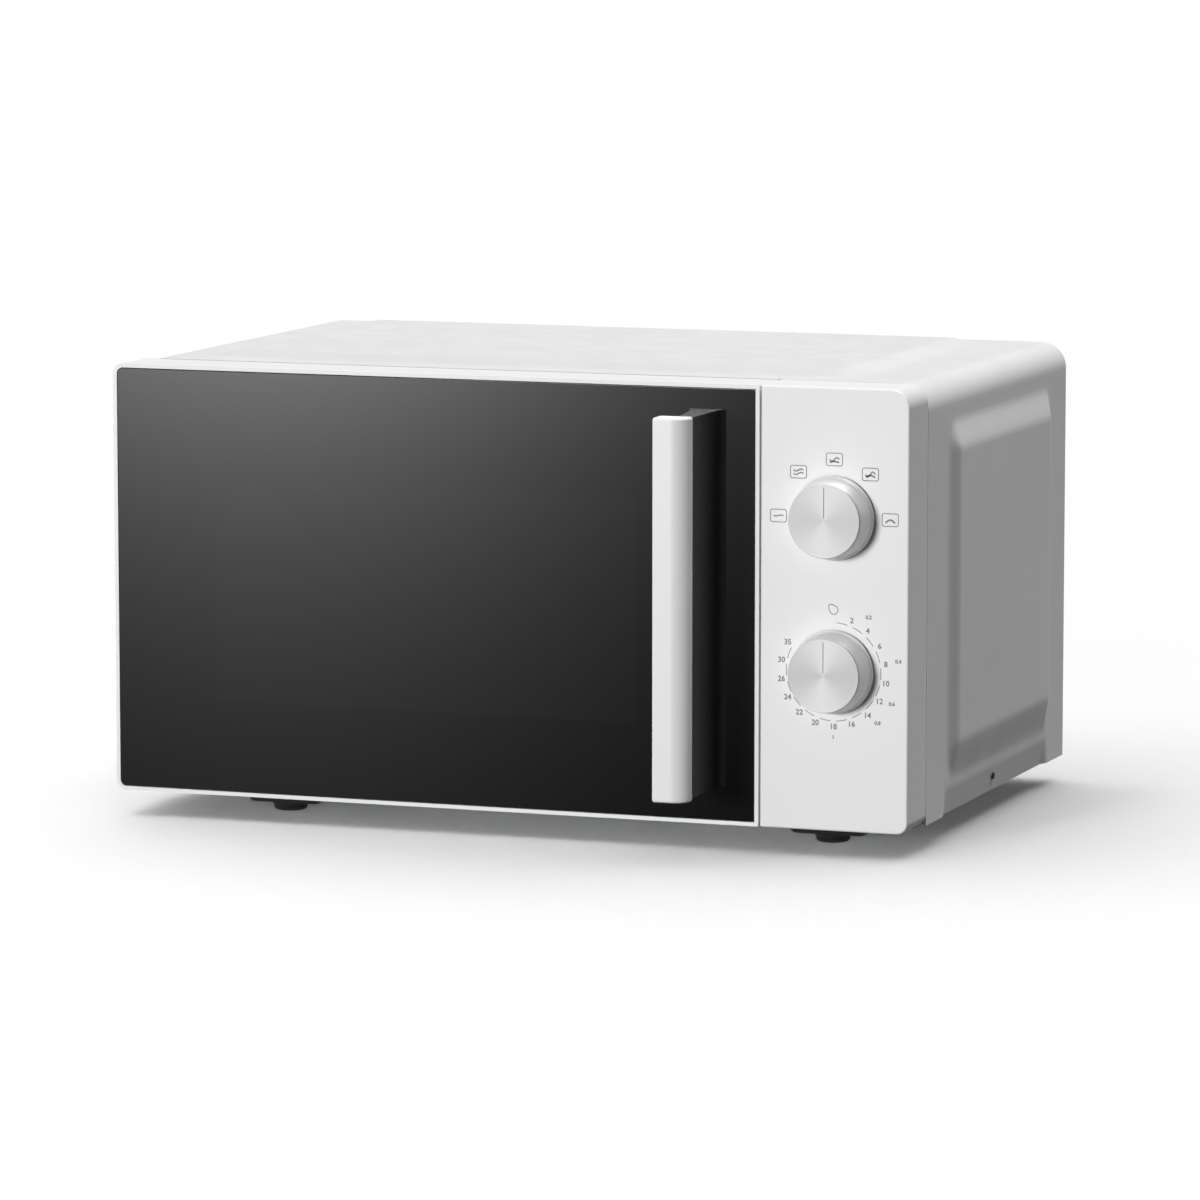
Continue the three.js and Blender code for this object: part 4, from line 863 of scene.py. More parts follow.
def build_cover():
    """The wrapper: one bent sheet with a panel pressed into the top and each side."""
    sizes = bpy.context.scene.oven_cabinet
    press = sizes.press
    (x0, x1), (y0, y1), (z0, z1) = span("outer_cover")
    x, z = (x0 + press, x1 - press), (z0, z1 - press)
    front = span("control_panel")[1][0]
    side_foot = (front + 71 * MM, front + 262 * MM, z0 + 19 * MM, z0 + 210 * MM)
    side_flat = (front + 82 * MM, front + 254 * MM, z0 + 38.5 * MM, z0 + 195 * MM)
    top_foot = (x[0] + 34 * MM, x[1] - 45 * MM, front + 51 * MM, front + 280 * MM)
    top_flat = (x[0] + 48 * MM, x[1] - 58 * MM, front + 65 * MM, front + 268 * MM)
    tapered = (side_foot[0] - 7 * MM, side_foot[1])
    bm = bmesh.new()
    rows = []
    for px, pz, nx, nz in cover_path(x, z, sizes.corner, sizes.spacing):
        row = []
        for y in stations(y0, y1, sizes.spacing):
            height = 0.0
            if nx in (1.0, -1.0):
                height = press * pressed(y, pz, side_foot, side_flat)
                if pz < z0 + sizes.flange:
                    ends = soft_step((y - tapered[0]) / (7 * MM)) * soft_step((tapered[1] - y) / (5 * MM))
                    height -= sizes.taper * ends * (1 - (pz - z0) / sizes.flange)
            elif nz == 1.0:
                height = press * pressed(px, y, top_foot, top_flat)
            row.append(bm.verts.new((px + nx * height, y, pz + nz * height)))
        rows.append(row)
    for near, far in zip(rows, rows[1:]):
        for i in range(len(near) - 1):
            bm.faces.new((near[i], near[i + 1], far[i + 1], far[i]))
    bmesh.ops.recalc_face_normals(bm, faces=bm.faces)
    bm.faces.ensure_lookup_table()
    if rows[0][0].link_faces[0].normal.x > 0:
        bmesh.ops.reverse_faces(bm, faces=bm.faces)
    cover = object_of("painted_cover", bm, FINISHES["white_paint"], facing=False)
    wall = cover.modifiers.new("sheet", "SOLIDIFY")
    wall.thickness = sizes.sheet
    wall.offset = -1.0
    settled(cover, 50.0)
    finished(cover, "cabinet", "white_paint", "outer_cover")


def build_feet():
    """Turned rubber feet with a soft rim, a groove and a dished sole."""
    for node in ("foot_front_left", "foot_front_right", "foot_rear_left", "foot_rear_right"):
        centre = middle(node)
        (_, _), (_, _), (low, high) = span(node)
        top = high - low
        profile = [
            (0, 0.5 * MM),
            (5.5 * MM, 0.5 * MM),
            (6.2 * MM, 0.1 * MM),
            (7.2 * MM, 0),
            (8.2 * MM, 0.25 * MM),
            (8.8 * MM, 0.9 * MM),
            (9.2 * MM, 2.0 * MM),
            (8.9 * MM, 2.3 * MM),
            (9.4 * MM, 2.7 * MM),
            (9.9 * MM, top - 0.3 * MM),
            (9.6 * MM, top),
            (0, top),
        ]
        bm = bmesh.new()
        lathe(bm, profile, (centre.x, centre.y, low), (0, 0, 1), 48)
        foot = object_of(f"{node}_rubber", bm, FINISHES["rubber"])
        finished(foot, "cabinet", "rubber", node)


def build_base():
    base = softened("base_plate", "base_tray", FINISHES["base_paint"], 0.9 * MM, 3)
    finished(base, "cabinet", "base_paint")


def build_rear():
    """The back sheet, with its cut vents, and the inlet bush, both with softened edges."""
    gland = softened("cord_gland", "inlet_bush", FINISHES["black_plastic"], 0.4 * MM)
    finished(gland, "cabinet", "black_plastic")
    plate = softened("rear_plate", "rear_sheet", FINISHES["zinc_steel"], 0.25 * MM)
    finished(plate, "cabinet", "zinc_steel")


# ---------------------------------------------------------------- oven compartment


def build_cavity():
    """The enamelled box, the chassis front and the mica, with dark discs of painted shade where its lamp and
    exhaust perforations are.
    """
    box = softened("oven_cavity", "enamelled_box", FINISHES["cavity_paint"], 0.3 * MM)
    finished(box, "cabinet", "cavity_paint")
    plate = softened("cavity_front_plate", "chassis_front", FINISHES["cavity_paint"], 0.3 * MM)
    finished(plate, "cabinet", "cavity_paint")
    mica = softened("waveguide_cover", "mica_cover", FINISHES["mica"], 0.15 * MM)
    finished(mica, "cabinet", "mica")

    (left, right), (front, _), (_, high) = span("oven_cavity")
    sheet = 1.2 * MM
    lamp = middle("lamp_bulb")
    lift = 0.04 * MM
    # Dark discs of painted shade stand in for the lamp and exhaust holes.
    places = []
    for y, z in grid((lamp.y - 13 * MM, lamp.y + 13 * MM), (lamp.z - 13 * MM, lamp.z + 13 * MM), 3.4 * MM):
        places.append(((right - sheet - lift, y, z), (-1, 0, 0)))
    for y, z in grid((front + 40 * MM, front + 90 * MM), (high - 46 * MM, high - 26 * MM), 4.0 * MM):
        places.append(((left + sheet + lift, y, z), (1, 0, 0)))
    holes = scattered(
        "cavity_perforation_shades",
        hole_tree(),
        places,
        FINISHES["hole"],
        Radius=1.2 * MM,
        Height=0.1 * MM,
        Sides=12,
    )
    finished(holes, "cabinet", "black_plastic")


def build_turntable():
    """The pressed glass plate, the ring with its rollers and the drive coupler."""
    (x0, x1), (_, _), (low, high) = span("glass_turntable")
    centre = middle("glass_turntable")
    radius = (x1 - x0) / 2
    bottom = high - 10.9 * MM
    profile = [(0, 0), (40 * MM, 0)]
    for i in range(4):
        ring = (52 + 10 * i) * MM
        profile += [(ring, 0), (ring + 1 * MM, -0.35 * MM), (ring + 2 * MM, 0)]
    profile += [(radius - 17 * MM, 0), (radius - 10 * MM, 1.6 * MM), (radius - 1.6 * MM, 7.6 * MM)]
    profile += [(radius - 0.4 * MM, 8.3 * MM), (radius, 9.2 * MM), (radius - 0.2 * MM, 10.3 * MM)]
    profile += [(radius - 1.0 * MM, 10.9 * MM), (radius - 2.0 * MM, 10.8 * MM)]
    profile += [(radius - 3.0 * MM, 10.0 * MM)]
    profile += [(radius - 6 * MM, 8.0 * MM), (radius - 11.5 * MM, 5.0 * MM), (radius - 18 * MM, 4.0 * MM)]
    profile += [(30 * MM, 4.0 * MM), (0, 4.0 * MM)]
    bm = bmesh.new()
    lathe(bm, profile, (centre.x, centre.y, bottom), (0, 0, 1), 144)
    for i in range(3):
        angle = (2 * i + 1) * math.pi / 3
        turn = Matrix.Translation((centre.x, centre.y, 0)) @ Matrix.Rotation(angle, 4, "Z")
        levels = ((0.8 * MM, low), (0.2 * MM, low + 0.3 * MM), (0, low + 1 * MM), (0, bottom + 0.2 * MM))
        inset_plate(
            bm,
            (11.5 * MM, 20.5 * MM),
            (-3.5 * MM, 3.5 * MM),
            [1.5 * MM] * 4,
            levels,
            lambda u, v, depth, turn=turn: turn @ Vector((u, v, depth)),
            4,
        )
    plate = object_of("glass_plate", bm, FINISHES["clear_glass"])
    finished(plate, "turntable_plate", "clear_glass", "glass_turntable")

    ring = softened("roller_ring", "roller_support_ring", FINISHES["grey_plastic"], 0.5 * MM)
    finished(ring, "roller_support", "grey_plastic")
    hub = softened("turntable_coupler", "drive_coupler", FINISHES["cream_plastic"], 0.6 * MM)
    finished(hub, "turntable_drive", "cream_plastic")
    for i in range(3):
        node = f"roller_{i + 1}"
        place = middle(node)
        outward = Vector((place.x - centre.x, place.y - centre.y, 0)).normalized()
        profile = [
            (2.2 * MM, -3 * MM),
            (4.5 * MM, -3 * MM),
            (5.0 * MM, -2.4 * MM),
            (6.6 * MM, -2.4 * MM),
            (7.2 * MM, -3 * MM),
            (7.8 * MM, -2.7 * MM),
            (8.0 * MM, -2.0 * MM),
            (8.0 * MM, 2.0 * MM),
            (7.8 * MM, 2.7 * MM),
            (7.2 * MM, 3 * MM),
            (6.6 * MM, 2.4 * MM),
            (5.0 * MM, 2.4 * MM),
            (4.5 * MM, 3 * MM),
            (2.2 * MM, 3 * MM),
            (2.2 * MM, -3 * MM),
        ]
        bm = bmesh.new()
        lathe(bm, profile, place, outward, 40)
        bmesh.ops.remove_doubles(bm, verts=bm.verts, dist=0.001 * MM)
        wheel = object_of(f"{node}_wheel", bm, FINISHES["grey_plastic"])
        finished(wheel, f"roller_wheel_{i + 1}", "grey_plastic", node)


# ---------------------------------------------------------------- door


def build_door():
    """Frame, glass, choke cover and the see-through sheet over the screen, whose holes are dark discs of
    painted shade.
    """
    sizes = bpy.context.scene.oven_door
    shell = softened("door_frame", "door_moulding", FINISHES["white_plastic"], 0.35 * MM)
    finished(shell, "door", "white_plastic")
    glass = softened("door_glass", "door_outer_glass", FINISHES["dark_glass"], 0.3 * MM)
    finished(glass, "door", "dark_glass")
    choke = softened("door_choke_cover", "choke_cover", FINISHES["black_plastic"], 0.5 * MM)
    finished(choke, "door", "black_plastic")
    film = softened("door_inner_window", "inner_window", FINISHES["inner_film"], 0.2 * MM)
    finished(film, "door", "inner_film")

    # The screen's holes are dark discs of painted shade on the back of its plate.
    back = span("door_screen_plate")[1][1]
    (wl, wr), _, (wb, wt) = span("door_inner_window")
    rim = 6 * MM
    places = [
        ((x, back, z), (0, 1, 0))
        for x, z in grid((wl + rim, wr - rim), (wb + rim, wt - rim), sizes.hole_pitch)
    ]
    holes = scattered(
        "screen_hole_shades",
        hole_tree(),
        places,
        FINISHES["hole"],
        Radius=sizes.hole_radius,
        Height=0.1 * MM,
        Sides=6,
    )
    finished(holes, "door", "black_plastic")


def bar_outline(node):
    """The handle bar's section: a flat front that turns away in a wide curve to the right."""
    (left, right), (front, back), _ = span(node)
    right -= 2.3 * MM
    width = right - left
    points = [(left + 0.8 * MM, back), (left, back - 0.8 * MM)]
    points += bezier(
        (left, front + 1.2 * MM),
        (left, front + 0.4 * MM),
        (left + 0.4 * MM, front),
        (left + 1.2 * MM, front),
        5,
    )
    points += [(left + 1.2 * MM, front), (left + 0.25 * width, front)]
    points += bezier(
        (left + 0.5 * width, front),
        (right - 0.24 * width, front + 0.2 * MM),
        (right - 1.0 * MM, front + 3.0 * MM),
        (right - 0.1 * MM, front + 8.0 * MM),
        18,
    )
    points += bezier(
        (right - 0.1 * MM, front + 8.0 * MM),
        (right, front + 8.5 * MM),
        (right, front + 8.8 * MM),
        (right - 0.3 * MM, front + 9.3 * MM),
        4,
    )
    return points + [(right - 0.3 * MM, front + 9.3 * MM), (right - 1.2 * MM, back)]


def upright_bar(name, outline, z, edge, material):
    """An outline in plan drawn up from z[0] to z[1], with both ends rounded by edge."""
    if sum(a[0] * b[1] - b[0] * a[1] for a, b in zip(outline, outline[1:] + outline[:1])) < 0:
        outline = list(reversed(outline))
    rings = []
    for direction, end in ((1, z[0]), (-1, z[1])):
        part = []
        for i in range(5):
            angle = QUARTER * i / 4
            inset = edge * (1 - math.sin(angle))
            level = end + direction * edge * (1 - math.cos(angle))
            part.append([Vector((u, v, level)) for u, v in shrunk(outline, inset)])
        rings += part if direction > 0 else reversed(part)
    bm = bmesh.new()
    skin(bm, rings)
    return object_of(name, bm, material, 40.0)


def build_handle():
    """The bar and the body that carries it; the glass mirrors neither."""
    sizes = bpy.context.scene.oven_door
    outline = bar_outline("handle_bar")
    z = span("handle_bar")[2]
    bar = upright_bar("white_handle_bar", outline, z, sizes.bar_round, FINISHES["handle_white"])
    finished(bar, "door", "handle_white", "handle_bar")
    support = softened("handle_support", "handle_body", FINISHES["black_plastic"], 0.7 * MM, 3)
    finished(support, "door", "black_plastic")
    for piece in (bar, support):
        piece.visible_glossy = False


def build_latch():
    hooks = softened("latch_hooks", "latch_moulding", FINISHES["cream_plastic"], 0.4 * MM)
    finished(hooks, "latch", "cream_plastic")


# ---------------------------------------------------------------- control panel and dials


def build_panel():
    """The white fascia, a tray with a softly rounded front edge."""
    x, (front, back), z = span("control_panel")
    wall = 3 * MM
    edge = 1.1 * MM
    levels = []
    for i in range(5):
        angle = QUARTER * i / 4
        levels.append((edge * (1 - math.sin(angle)), front + edge * (1 - math.cos(angle))))
    levels += [(0, back), (wall, back), (wall, front + wall)]
    bm = bmesh.new()
    inset_plate(bm, x, z, (0.6 * MM, 6 * MM, 10 * MM, 0.6 * MM), levels, upright, 10)
    fascia = object_of("fascia", bm, FINISHES["white_plastic"], 30.0)
    finished(fascia, "cabinet", "white_plastic", "control_panel")


def on_ring(centre, reach, degrees):
    """The (x, z) place at an angle clockwise from the top of a dial."""
    angle = math.radians(degrees)
    return centre.x + reach * math.sin(angle), centre.z + reach * math.cos(angle)


def food_symbol(bm, x, z, y, stroke_width, kind):
    """A small rounded frame with a wave, a bar or a heap in it, for a power level."""
    wide, high = 4.4 * MM, 3.3 * MM
    frame_points = rounded(x - wide, x + wide, z - high, z + high, [1.1 * MM] * 4, 4)
    stroke(bm, frame_points, stroke_width, y, closed=True)
    if kind < 4:
        for row in range(1 + (kind == 1)):
            level = z + (0.9 - 1.8 * row if kind == 1 else 0) * MM
            wave = [
                (x + u * 2.7 * MM, level + (0.25 + 0.35 * kind) * MM * math.sin(u * math.pi))
                for u in (i / 6 - 1 for i in range(13))
            ]
            stroke(bm, wave, stroke_width * 1.5, y)
    if kind > 1:
        heap = [(x - 2.6 * MM + i * 0.65 * MM, z - 1.6 * MM) for i in range(9)]
        heap = [(u, v + (kind - 1) * 0.55 * MM * math.sin(math.pi * i / 8)) for i, (u, v) in enumerate(heap)]
        stroke(bm, heap, stroke_width * 2.0, y)


def drop_symbol(bm, x, z, y, stroke_width):
    """A leaning drop that stands for thawing."""
    points = []
    for i in range(24):
        angle = 2 * math.pi * i / 24
        pull = 1 + 0.55 * max(math.cos(angle - 2.3), 0) ** 6
        points.append((x + 2.3 * MM * pull * math.cos(angle), z + 2.3 * MM * pull * math.sin(angle)))
    stroke(bm, points, stroke_width, y, closed=True)


def build_marks():
    """The printed scales round both dials."""
    sizes = bpy.context.scene.oven_dials
    y = span("control_panel")[1][0] - 0.002 * MM
    power, timer = middle("power_knob"), middle("timer_knob")
    bm = bmesh.new()
    for kind, degrees in enumerate((-90, -40, 0, 40, 90)):
        x, z = on_ring(power, sizes.power_reach, degrees)
        food_symbol(bm, x, z, y, sizes.stroke, kind)

    minutes = [(2 * i, 20.0 * i) for i in range(1, 14)] + [(30, 280.0), (35, 300.0)]
    for minute, degrees in minutes:
        x, z = on_ring(timer, sizes.timer_reach, degrees)
        figure(bm, str(minute), sizes.figure, x, y, z)
    arc_reach = sizes.timer_reach - 3.1 * MM
    turns = [0.0] + [degrees for _, degrees in minutes]
    for start, end in zip(turns, turns[1:]):
        gap = 3.4
        steps = [start + gap + (end - start - 2 * gap) * i / 6 for i in range(7)]
        stroke(bm, [on_ring(timer, arc_reach, step) for step in steps], sizes.stroke * 0.85, y)
    weights = (("0.2", 33, 35), ("0.4", 79, 36), ("0.6", 116, 35.5), ("0.8", 137, 35.5), ("1", 180, 34.5))
    for text, degrees, reach in weights:
        x, z = on_ring(timer, reach * MM, degrees)
        figure(bm, text, sizes.figure * 0.68, x, y, z)
    drop_symbol(bm, *on_ring(timer, 32.5 * MM, 0), y, sizes.stroke)
    marks = object_of("dial_scales", bm, FINISHES["print"], facing=False)
    finished(marks, "cabinet", "black_plastic")


def build_dial(prefix, body, body_finish, cap_finish):
    """A skirted, slightly tapered dial with a spun cap and a fine pointer line."""
    (x0, x1), (front, back), _ = span(f"{prefix}_knob")
    cap_front = span(f"{prefix}_knob_cap")[1][0]
    centre = middle(f"{prefix}_knob")
    radius = (x1 - x0) / 2
    reach = back - front
    start = Vector((centre.x, back, centre.z))
    outward = (0, -1, 0)
    profile = [
        (0, 3 * MM),
        (radius - 5 * MM, 3 * MM),
        (radius - 2.4 * MM, 0.2 * MM),
        (radius - 0.7 * MM, 0),
        (radius - 0.15 * MM, 0.15 * MM),
        (radius, 0.6 * MM),
        (radius - 0.02 * MM, 1.3 * MM),
        (radius - 0.25 * MM, 1.75 * MM),
        (radius - 0.75 * MM, 2.15 * MM),
        (radius - 1.15 * MM, 2.6 * MM),
        (radius - 1.35 * MM, 3.4 * MM),
        (radius - 2.5 * MM, reach - 1.0 * MM),
        (radius - 2.75 * MM, reach - 0.35 * MM),
        (radius - 3.3 * MM, reach),
        (0, reach),
    ]
    bm = bmesh.new()
    lathe(bm, profile, start, outward, 128)
    # Painted light: the body's finish is the dial metal made lighter than the cap's.
    knob = object_of(f"{prefix}_dial_body", bm, FINISHES[body_finish], 30.0)
    finished(knob, body, "dial_silver", f"{prefix}_knob")

    face = back - cap_front
    cap_radius = radius - 2.85 * MM
    low = reach + 0.02 * MM
    cap = [
        (0, low),
        (cap_radius - 0.3 * MM, low),
        (cap_radius, low + 0.25 * MM),
        (cap_radius, face - 0.35 * MM),
        (cap_radius - 0.12 * MM, face - 0.1 * MM),
        (cap_radius - 0.4 * MM, face),
        (cap_radius - 0.9 * MM, face - 0.04 * MM),
        (cap_radius - 1.3 * MM, face - 0.12 * MM),
        (0.6 * MM, face - 0.12 * MM),
        (0, face - 0.16 * MM),
    ]
    bm = bmesh.new()
    lathe(bm, cap, start, outward, 128)
    disc = object_of(f"{prefix}_spun_cap", bm, FINISHES[cap_finish], 25.0)
    finished(disc, body, "dial_silver", f"{prefix}_knob_cap")

    bm = bmesh.new()
    line = [(centre.x, centre.z + 1.5 * MM), (centre.x, centre.z + cap_radius - 1.6 * MM)]
    stroke(bm, line, 0.45 * MM, cap_front + 0.115 * MM, thick=0.03 * MM)
    pointer = object_of(f"{prefix}_pointer_line", bm, FINISHES["print"], facing=True)
    finished(pointer, body, "dial_silver")


# ---------------------------------------------------------------- fasteners and inner parts


def build_screws():
    """Cross-headed screws round the back, along both sides and under the tray."""
    (x0, x1), (_, back), (low, high) = span("rear_plate")
    base = span("base_plate")
    side = span("outer_cover")
    seed = bpy.context.scene.oven_studio.seed
    inset = 7 * MM
    places = []
    for x in (x0 + inset, (2 * x0 + x1) / 3, (x0 + 2 * x1) / 3, x1 - inset):
        places.append(((x, back, high - inset), (0, 1, 0)))
    for z in (low + 24 * MM, (low + high) / 2):
        places += [((x, back, z), (0, 1, 0)) for x in (x0 + inset, x1 - inset)]
    for x in (x0 + 60 * MM, x0 + 150 * MM, x1 - 80 * MM):
        places.append(((x, back, low + 6 * MM), (0, 1, 0)))
    heads = scattered(
        "rear_screws", screw_tree(), places, FINISHES["screw"], Radius=3.2 * MM, Height=1.7 * MM, Seed=seed
    )
    finished(heads, "cabinet", "steel")

    press = bpy.context.scene.oven_cabinet.press
    y = (side[1][0] + side[1][1]) / 2 - 5 * MM
    level = side[2][0] + 8 * MM
    lean = 0.95 * MM
    places = [
        ((side[0][0] + press + lean, y, level), (-1, 0, -0.12)),
        ((side[0][1] - press - lean, y, level), (1, 0, -0.12)),
    ]
    sides = scattered(
        "side_screws",
        screw_tree(),
        places,
        FINISHES["dark_screw"],
        Radius=2.2 * MM,
        Height=1.0 * MM,
        Seed=seed,
    )
    finished(sides, "cabinet", "steel")

    under = span("turntable_motor")
    motor = middle("turntable_motor")
    tray = base[2][0] + 5.7 * MM
    around = [(dx, dy) for dx in (-35 * MM, 35 * MM) for dy in (-22 * MM, 22 * MM)]
    places = [((motor.x + dx, motor.y + dy, tray), (0, 0, -1)) for dx, dy in around]
    places += [((under[0][1] + 150 * MM, motor.y + dy, tray), (0, 0, -1)) for dy in (-50 * MM, 30 * MM)]
    tray_screws = scattered(
        "tray_screws", screw_tree(), places, FINISHES["screw"], Radius=3.0 * MM, Height=1.4 * MM, Seed=seed
    )
    finished(tray_screws, "cabinet", "steel")


def build_tray_vents():
    """Rows of dark discs under the tray below the electrics: painted shade where vent holes would be pierced.
    """
    motor = middle("turntable_motor")
    core = middle("transformer_core")
    level = span("base_plate")[2][0] + 5.75 * MM
    pitch = 6 * MM
    under_core = (core.x - 32 * MM, core.x + 32 * MM), (core.y - 24 * MM, core.y + 24 * MM)
    behind_motor = (motor.x - 20 * MM, motor.x + 20 * MM), (motor.y + 40 * MM, motor.y + 52 * MM)
    places = []
    for across, along in (under_core, behind_motor):
        places += [((x, y, level), (0, 0, -1)) for x, y in grid(across, along, pitch)]
    # Dark discs of painted shade where the vents would be.
    vents = scattered(
        "tray_vent_shades",
        hole_tree(),
        places,
        FINISHES["hole"],
        Radius=2 * MM,
        Height=0.12 * MM,
        Sides=14,
    )
    finished(vents, "cabinet", "black_plastic")


# ---------------------------------------------------------------- studio


def target_rotation(place, target):
    return (Vector(target) - Vector(place)).to_track_quat("-Z", "Y").to_euler()


def build_floor():
    """A pale floor that fades into a white background; only the camera sees it."""
    sizes = bpy.context.scene.oven_studio
    made = Finish("studio_floor", sizes.floor, 0.6, Specular_IOR_Level=0.0)
    made.tint(made.noise(0.6, 2.0), 0.995)
    away = made.add("ShaderNodeVectorMath", ((0, made.place()),), operation="LENGTH").outputs["Value"]
    share = made.ramp(away, 0.0, 1.0, 0.4 * sizes.fade, sizes.fade)
    white = made.add("ShaderNodeEmission", (("Strength", 1.0),))
    blend = made.add(
        "ShaderNodeMixShader", ((0, share), (1, made.shader.outputs[0]), (2, white.outputs[0]))
    )
    made.links.new(blend.outputs[0], made.nodes["Material Output"].inputs["Surface"])
    bm = bmesh.new()
    reach = 9.0
    ends = ((-reach, -reach), (reach, -reach), (reach, 3 * reach), (-reach, 3 * reach))
    bm.faces.new([bm.verts.new((x, y, 0)) for x, y in ends])
    floor = object_of("studio_floor", bm, made.material, facing=False)
    floor.visible_diffuse = False
    floor.visible_glossy = False
    floor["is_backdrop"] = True


def glow(name, terms, base):
    """An emission whose strength is e to the sum of base and (factor, axis, power) terms of its place."""
    made = bpy.data.materials.new(name)
    made.use_nodes = True
    nodes, links = made.node_tree.nodes, made.node_tree.links
    nodes.clear()
    where = nodes.new("ShaderNodeTexCoord")
    split = nodes.new("ShaderNodeSeparateXYZ")
    links.new(where.outputs["Object"], split.inputs[0])
    total = None
    for factor, axis, exponent in terms:
        raised = split.outputs[axis]
        for _ in range(exponent - 1):
            product = nodes.new("ShaderNodeMath")
            product.operation = "MULTIPLY"
            links.new(raised, product.inputs[0])
            links.new(split.outputs[axis], product.inputs[1])
            raised = product.outputs[0]
        summed = nodes.new("ShaderNodeMath")
        summed.operation = "MULTIPLY_ADD"
        summed.inputs[1].default_value = factor
        summed.inputs[2].default_value = base
        links.new(raised, summed.inputs[0])
        if total:
            links.new(total, summed.inputs[2])
        total = summed.outputs[0]
    power = nodes.new("ShaderNodeMath")
    power.operation = "EXPONENT"
    links.new(total, power.inputs[0])
    light = nodes.new("ShaderNodeEmission")
    links.new(power.outputs[0], light.inputs["Strength"])
    out = nodes.new("ShaderNodeOutputMaterial")
    links.new(light.outputs[0], out.inputs["Surface"])
    return made


def build_card():
    """A glowing card in front of the door, bright at the top left, which only gloss can see."""
    (left, right), (front, _), (low, high) = span("door_glass")
    terms = ((-3.17, "X", 1), (-16.2, "X", 2), (8.5, "Z", 1))
    base = 0.27
    distance = 0.42
    past_left, past_right, past_low, past_high = 0.38, 0.24, 0.16, 0.02
    place = Vector((left - 0.007, front - distance, (low + high) / 2 - 0.039))
    u = (left - past_left - place.x, right + past_right - place.x)
    v = (low - past_low - place.z, high + past_high - place.z)
    bm = bmesh.new()
    ends = ((u[0], v[0]), (u[1], v[0]), (u[1], v[1]), (u[0], v[1]))
    bm.faces.new([bm.verts.new((a, 0, b)) for a, b in ends])
    card = object_of("gradient_card", bm, glow("gradient_card", terms, base), facing=False)
    card.location = place
    card.visible_camera = False
    card.visible_diffuse = False
    card.visible_shadow = False
    card.visible_transmission = False
    card.visible_volume_scatter = False
    card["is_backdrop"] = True


def build_sun(name, strength, towards, softness):
    sun = bpy.data.lights.new(name, "SUN")
    sun.energy = strength
    sun.angle = math.radians(softness)
    lamp = bpy.data.objects.new(name, sun)
    lamp.location = towards
    lamp.rotation_euler = target_rotation(towards, (0, 0, 0))
    bpy.context.scene.collection.objects.link(lamp)
    return lamp


def choose_receivers(lamp, state, *objects):
    """Lights only these objects (INCLUDE), or everything but them (EXCLUDE)."""
    chosen = bpy.data.collections.new(f"{lamp.name}_receivers")
    for obj in objects:
        chosen.objects.link(obj)
    for member in chosen.collection_objects:
        member.light_linking.link_state = state
    lamp.light_linking.receiver_collection = chosen


def build_lights():
    """A soft key from the front left, softer light from above and behind, and an even room."""
    sizes = bpy.context.scene.oven_studio
    floor = bpy.data.objects["studio_floor"]
    key = build_sun("key_light", sizes.key, (-0.20, -0.70, 0.10), 12)
    choose_receivers(key, "EXCLUDE", bpy.data.objects["painted_cover"])
    above = build_sun("high_light", sizes.above, (0.185, 0.21, 0.84), 30)
    choose_receivers(above, "EXCLUDE", floor)
    spread = build_sun("floor_light", sizes.spread, (-0.17, 0.06, 0.41), 110)
    choose_receivers(spread, "INCLUDE", floor)
    lift = build_sun("floor_lift", sizes.lift, (0, 0, 1), 10)
    lift.data.use_shadow = False
    choose_receivers(lift, "INCLUDE", floor)

    world = bpy.data.worlds.new("studio_white")
    bpy.context.scene.world = world
    world.use_nodes = True
    nodes, links = world.node_tree.nodes, world.node_tree.links
    ray = nodes.new("ShaderNodeLightPath")
    sheen = nodes.new("ShaderNodeMapRange")
    sheen.inputs["To Min"].default_value = sizes.sky
    sheen.inputs["To Max"].default_value = sizes.shine
    links.new(ray.outputs["Is Glossy Ray"], sheen.inputs["Value"])
    level = nodes.new("ShaderNodeMapRange")
    level.inputs["To Max"].default_value = 1.0
    links.new(sheen.outputs[0], level.inputs["To Min"])
    links.new(ray.outputs["Is Camera Ray"], level.inputs["Value"])
    links.new(level.outputs[0], nodes["Background"].inputs["Strength"])
    nodes["Background"].inputs["Color"].default_value = (1.0, 1.0, 1.0, 1.0)


def build_camera():
    lens = bpy.data.cameras.new("main_camera")
    lens.lens = bpy.context.scene.oven_studio.lens
    lens.sensor_width = 36.0
    lens.clip_end = 60.0
    camera = bpy.data.objects.new("main_camera", lens)
    camera.location = (1.1985, -3.26995, 0.5632)
    camera.rotation_euler = (math.radians(90 - 7.36), 0.0, math.radians(19.95))
    bpy.context.scene.collection.objects.link(camera)
    bpy.context.scene.camera = camera


# ---------------------------------------------------------------- operators and panel


class OVEN_OT_finishes(Operator):
    """Make all of the oven's finishes."""

    bl_idname = "oven.finishes"
    bl_label = "Finishes"

    def execute(self, context):
        make_finishes()
        return {"FINISHED"}


class OVEN_OT_cabinet(Operator):
    """Build the painted cover, the tray, the back and the feet."""

    bl_idname = "oven.cabinet"
    bl_label = "Cabinet"

    def execute(self, context):
        build_cover()
        build_base()
        build_rear()
        build_feet()
        return {"FINISHED"}


class OVEN_OT_cavity(Operator):
    """Build the enamelled compartment and the chassis front."""

    bl_idname = "oven.cavity"
    bl_label = "Compartment"

    def execute(self, context):
        build_cavity()
        return {"FINISHED"}


class OVEN_OT_turntable(Operator):
    """Build the glass plate, its ring, rollers and coupler."""

    bl_idname = "oven.turntable"
    bl_label = "Turntable"

    def execute(self, context):
        build_turntable()
        return {"FINISHED"}


class OVEN_OT_door(Operator):
    """Build the door's moulding, glass, choke cover and screen."""

    bl_idname = "oven.door"
    bl_label = "Door"

    def execute(self, context):
        build_door()
        build_latch()
        return {"FINISHED"}


class OVEN_OT_handle(Operator):
    """Build the handle's bar and body."""

    bl_idname = "oven.handle"
    bl_label = "Handle"

    def execute(self, context):
        build_handle()
        return {"FINISHED"}


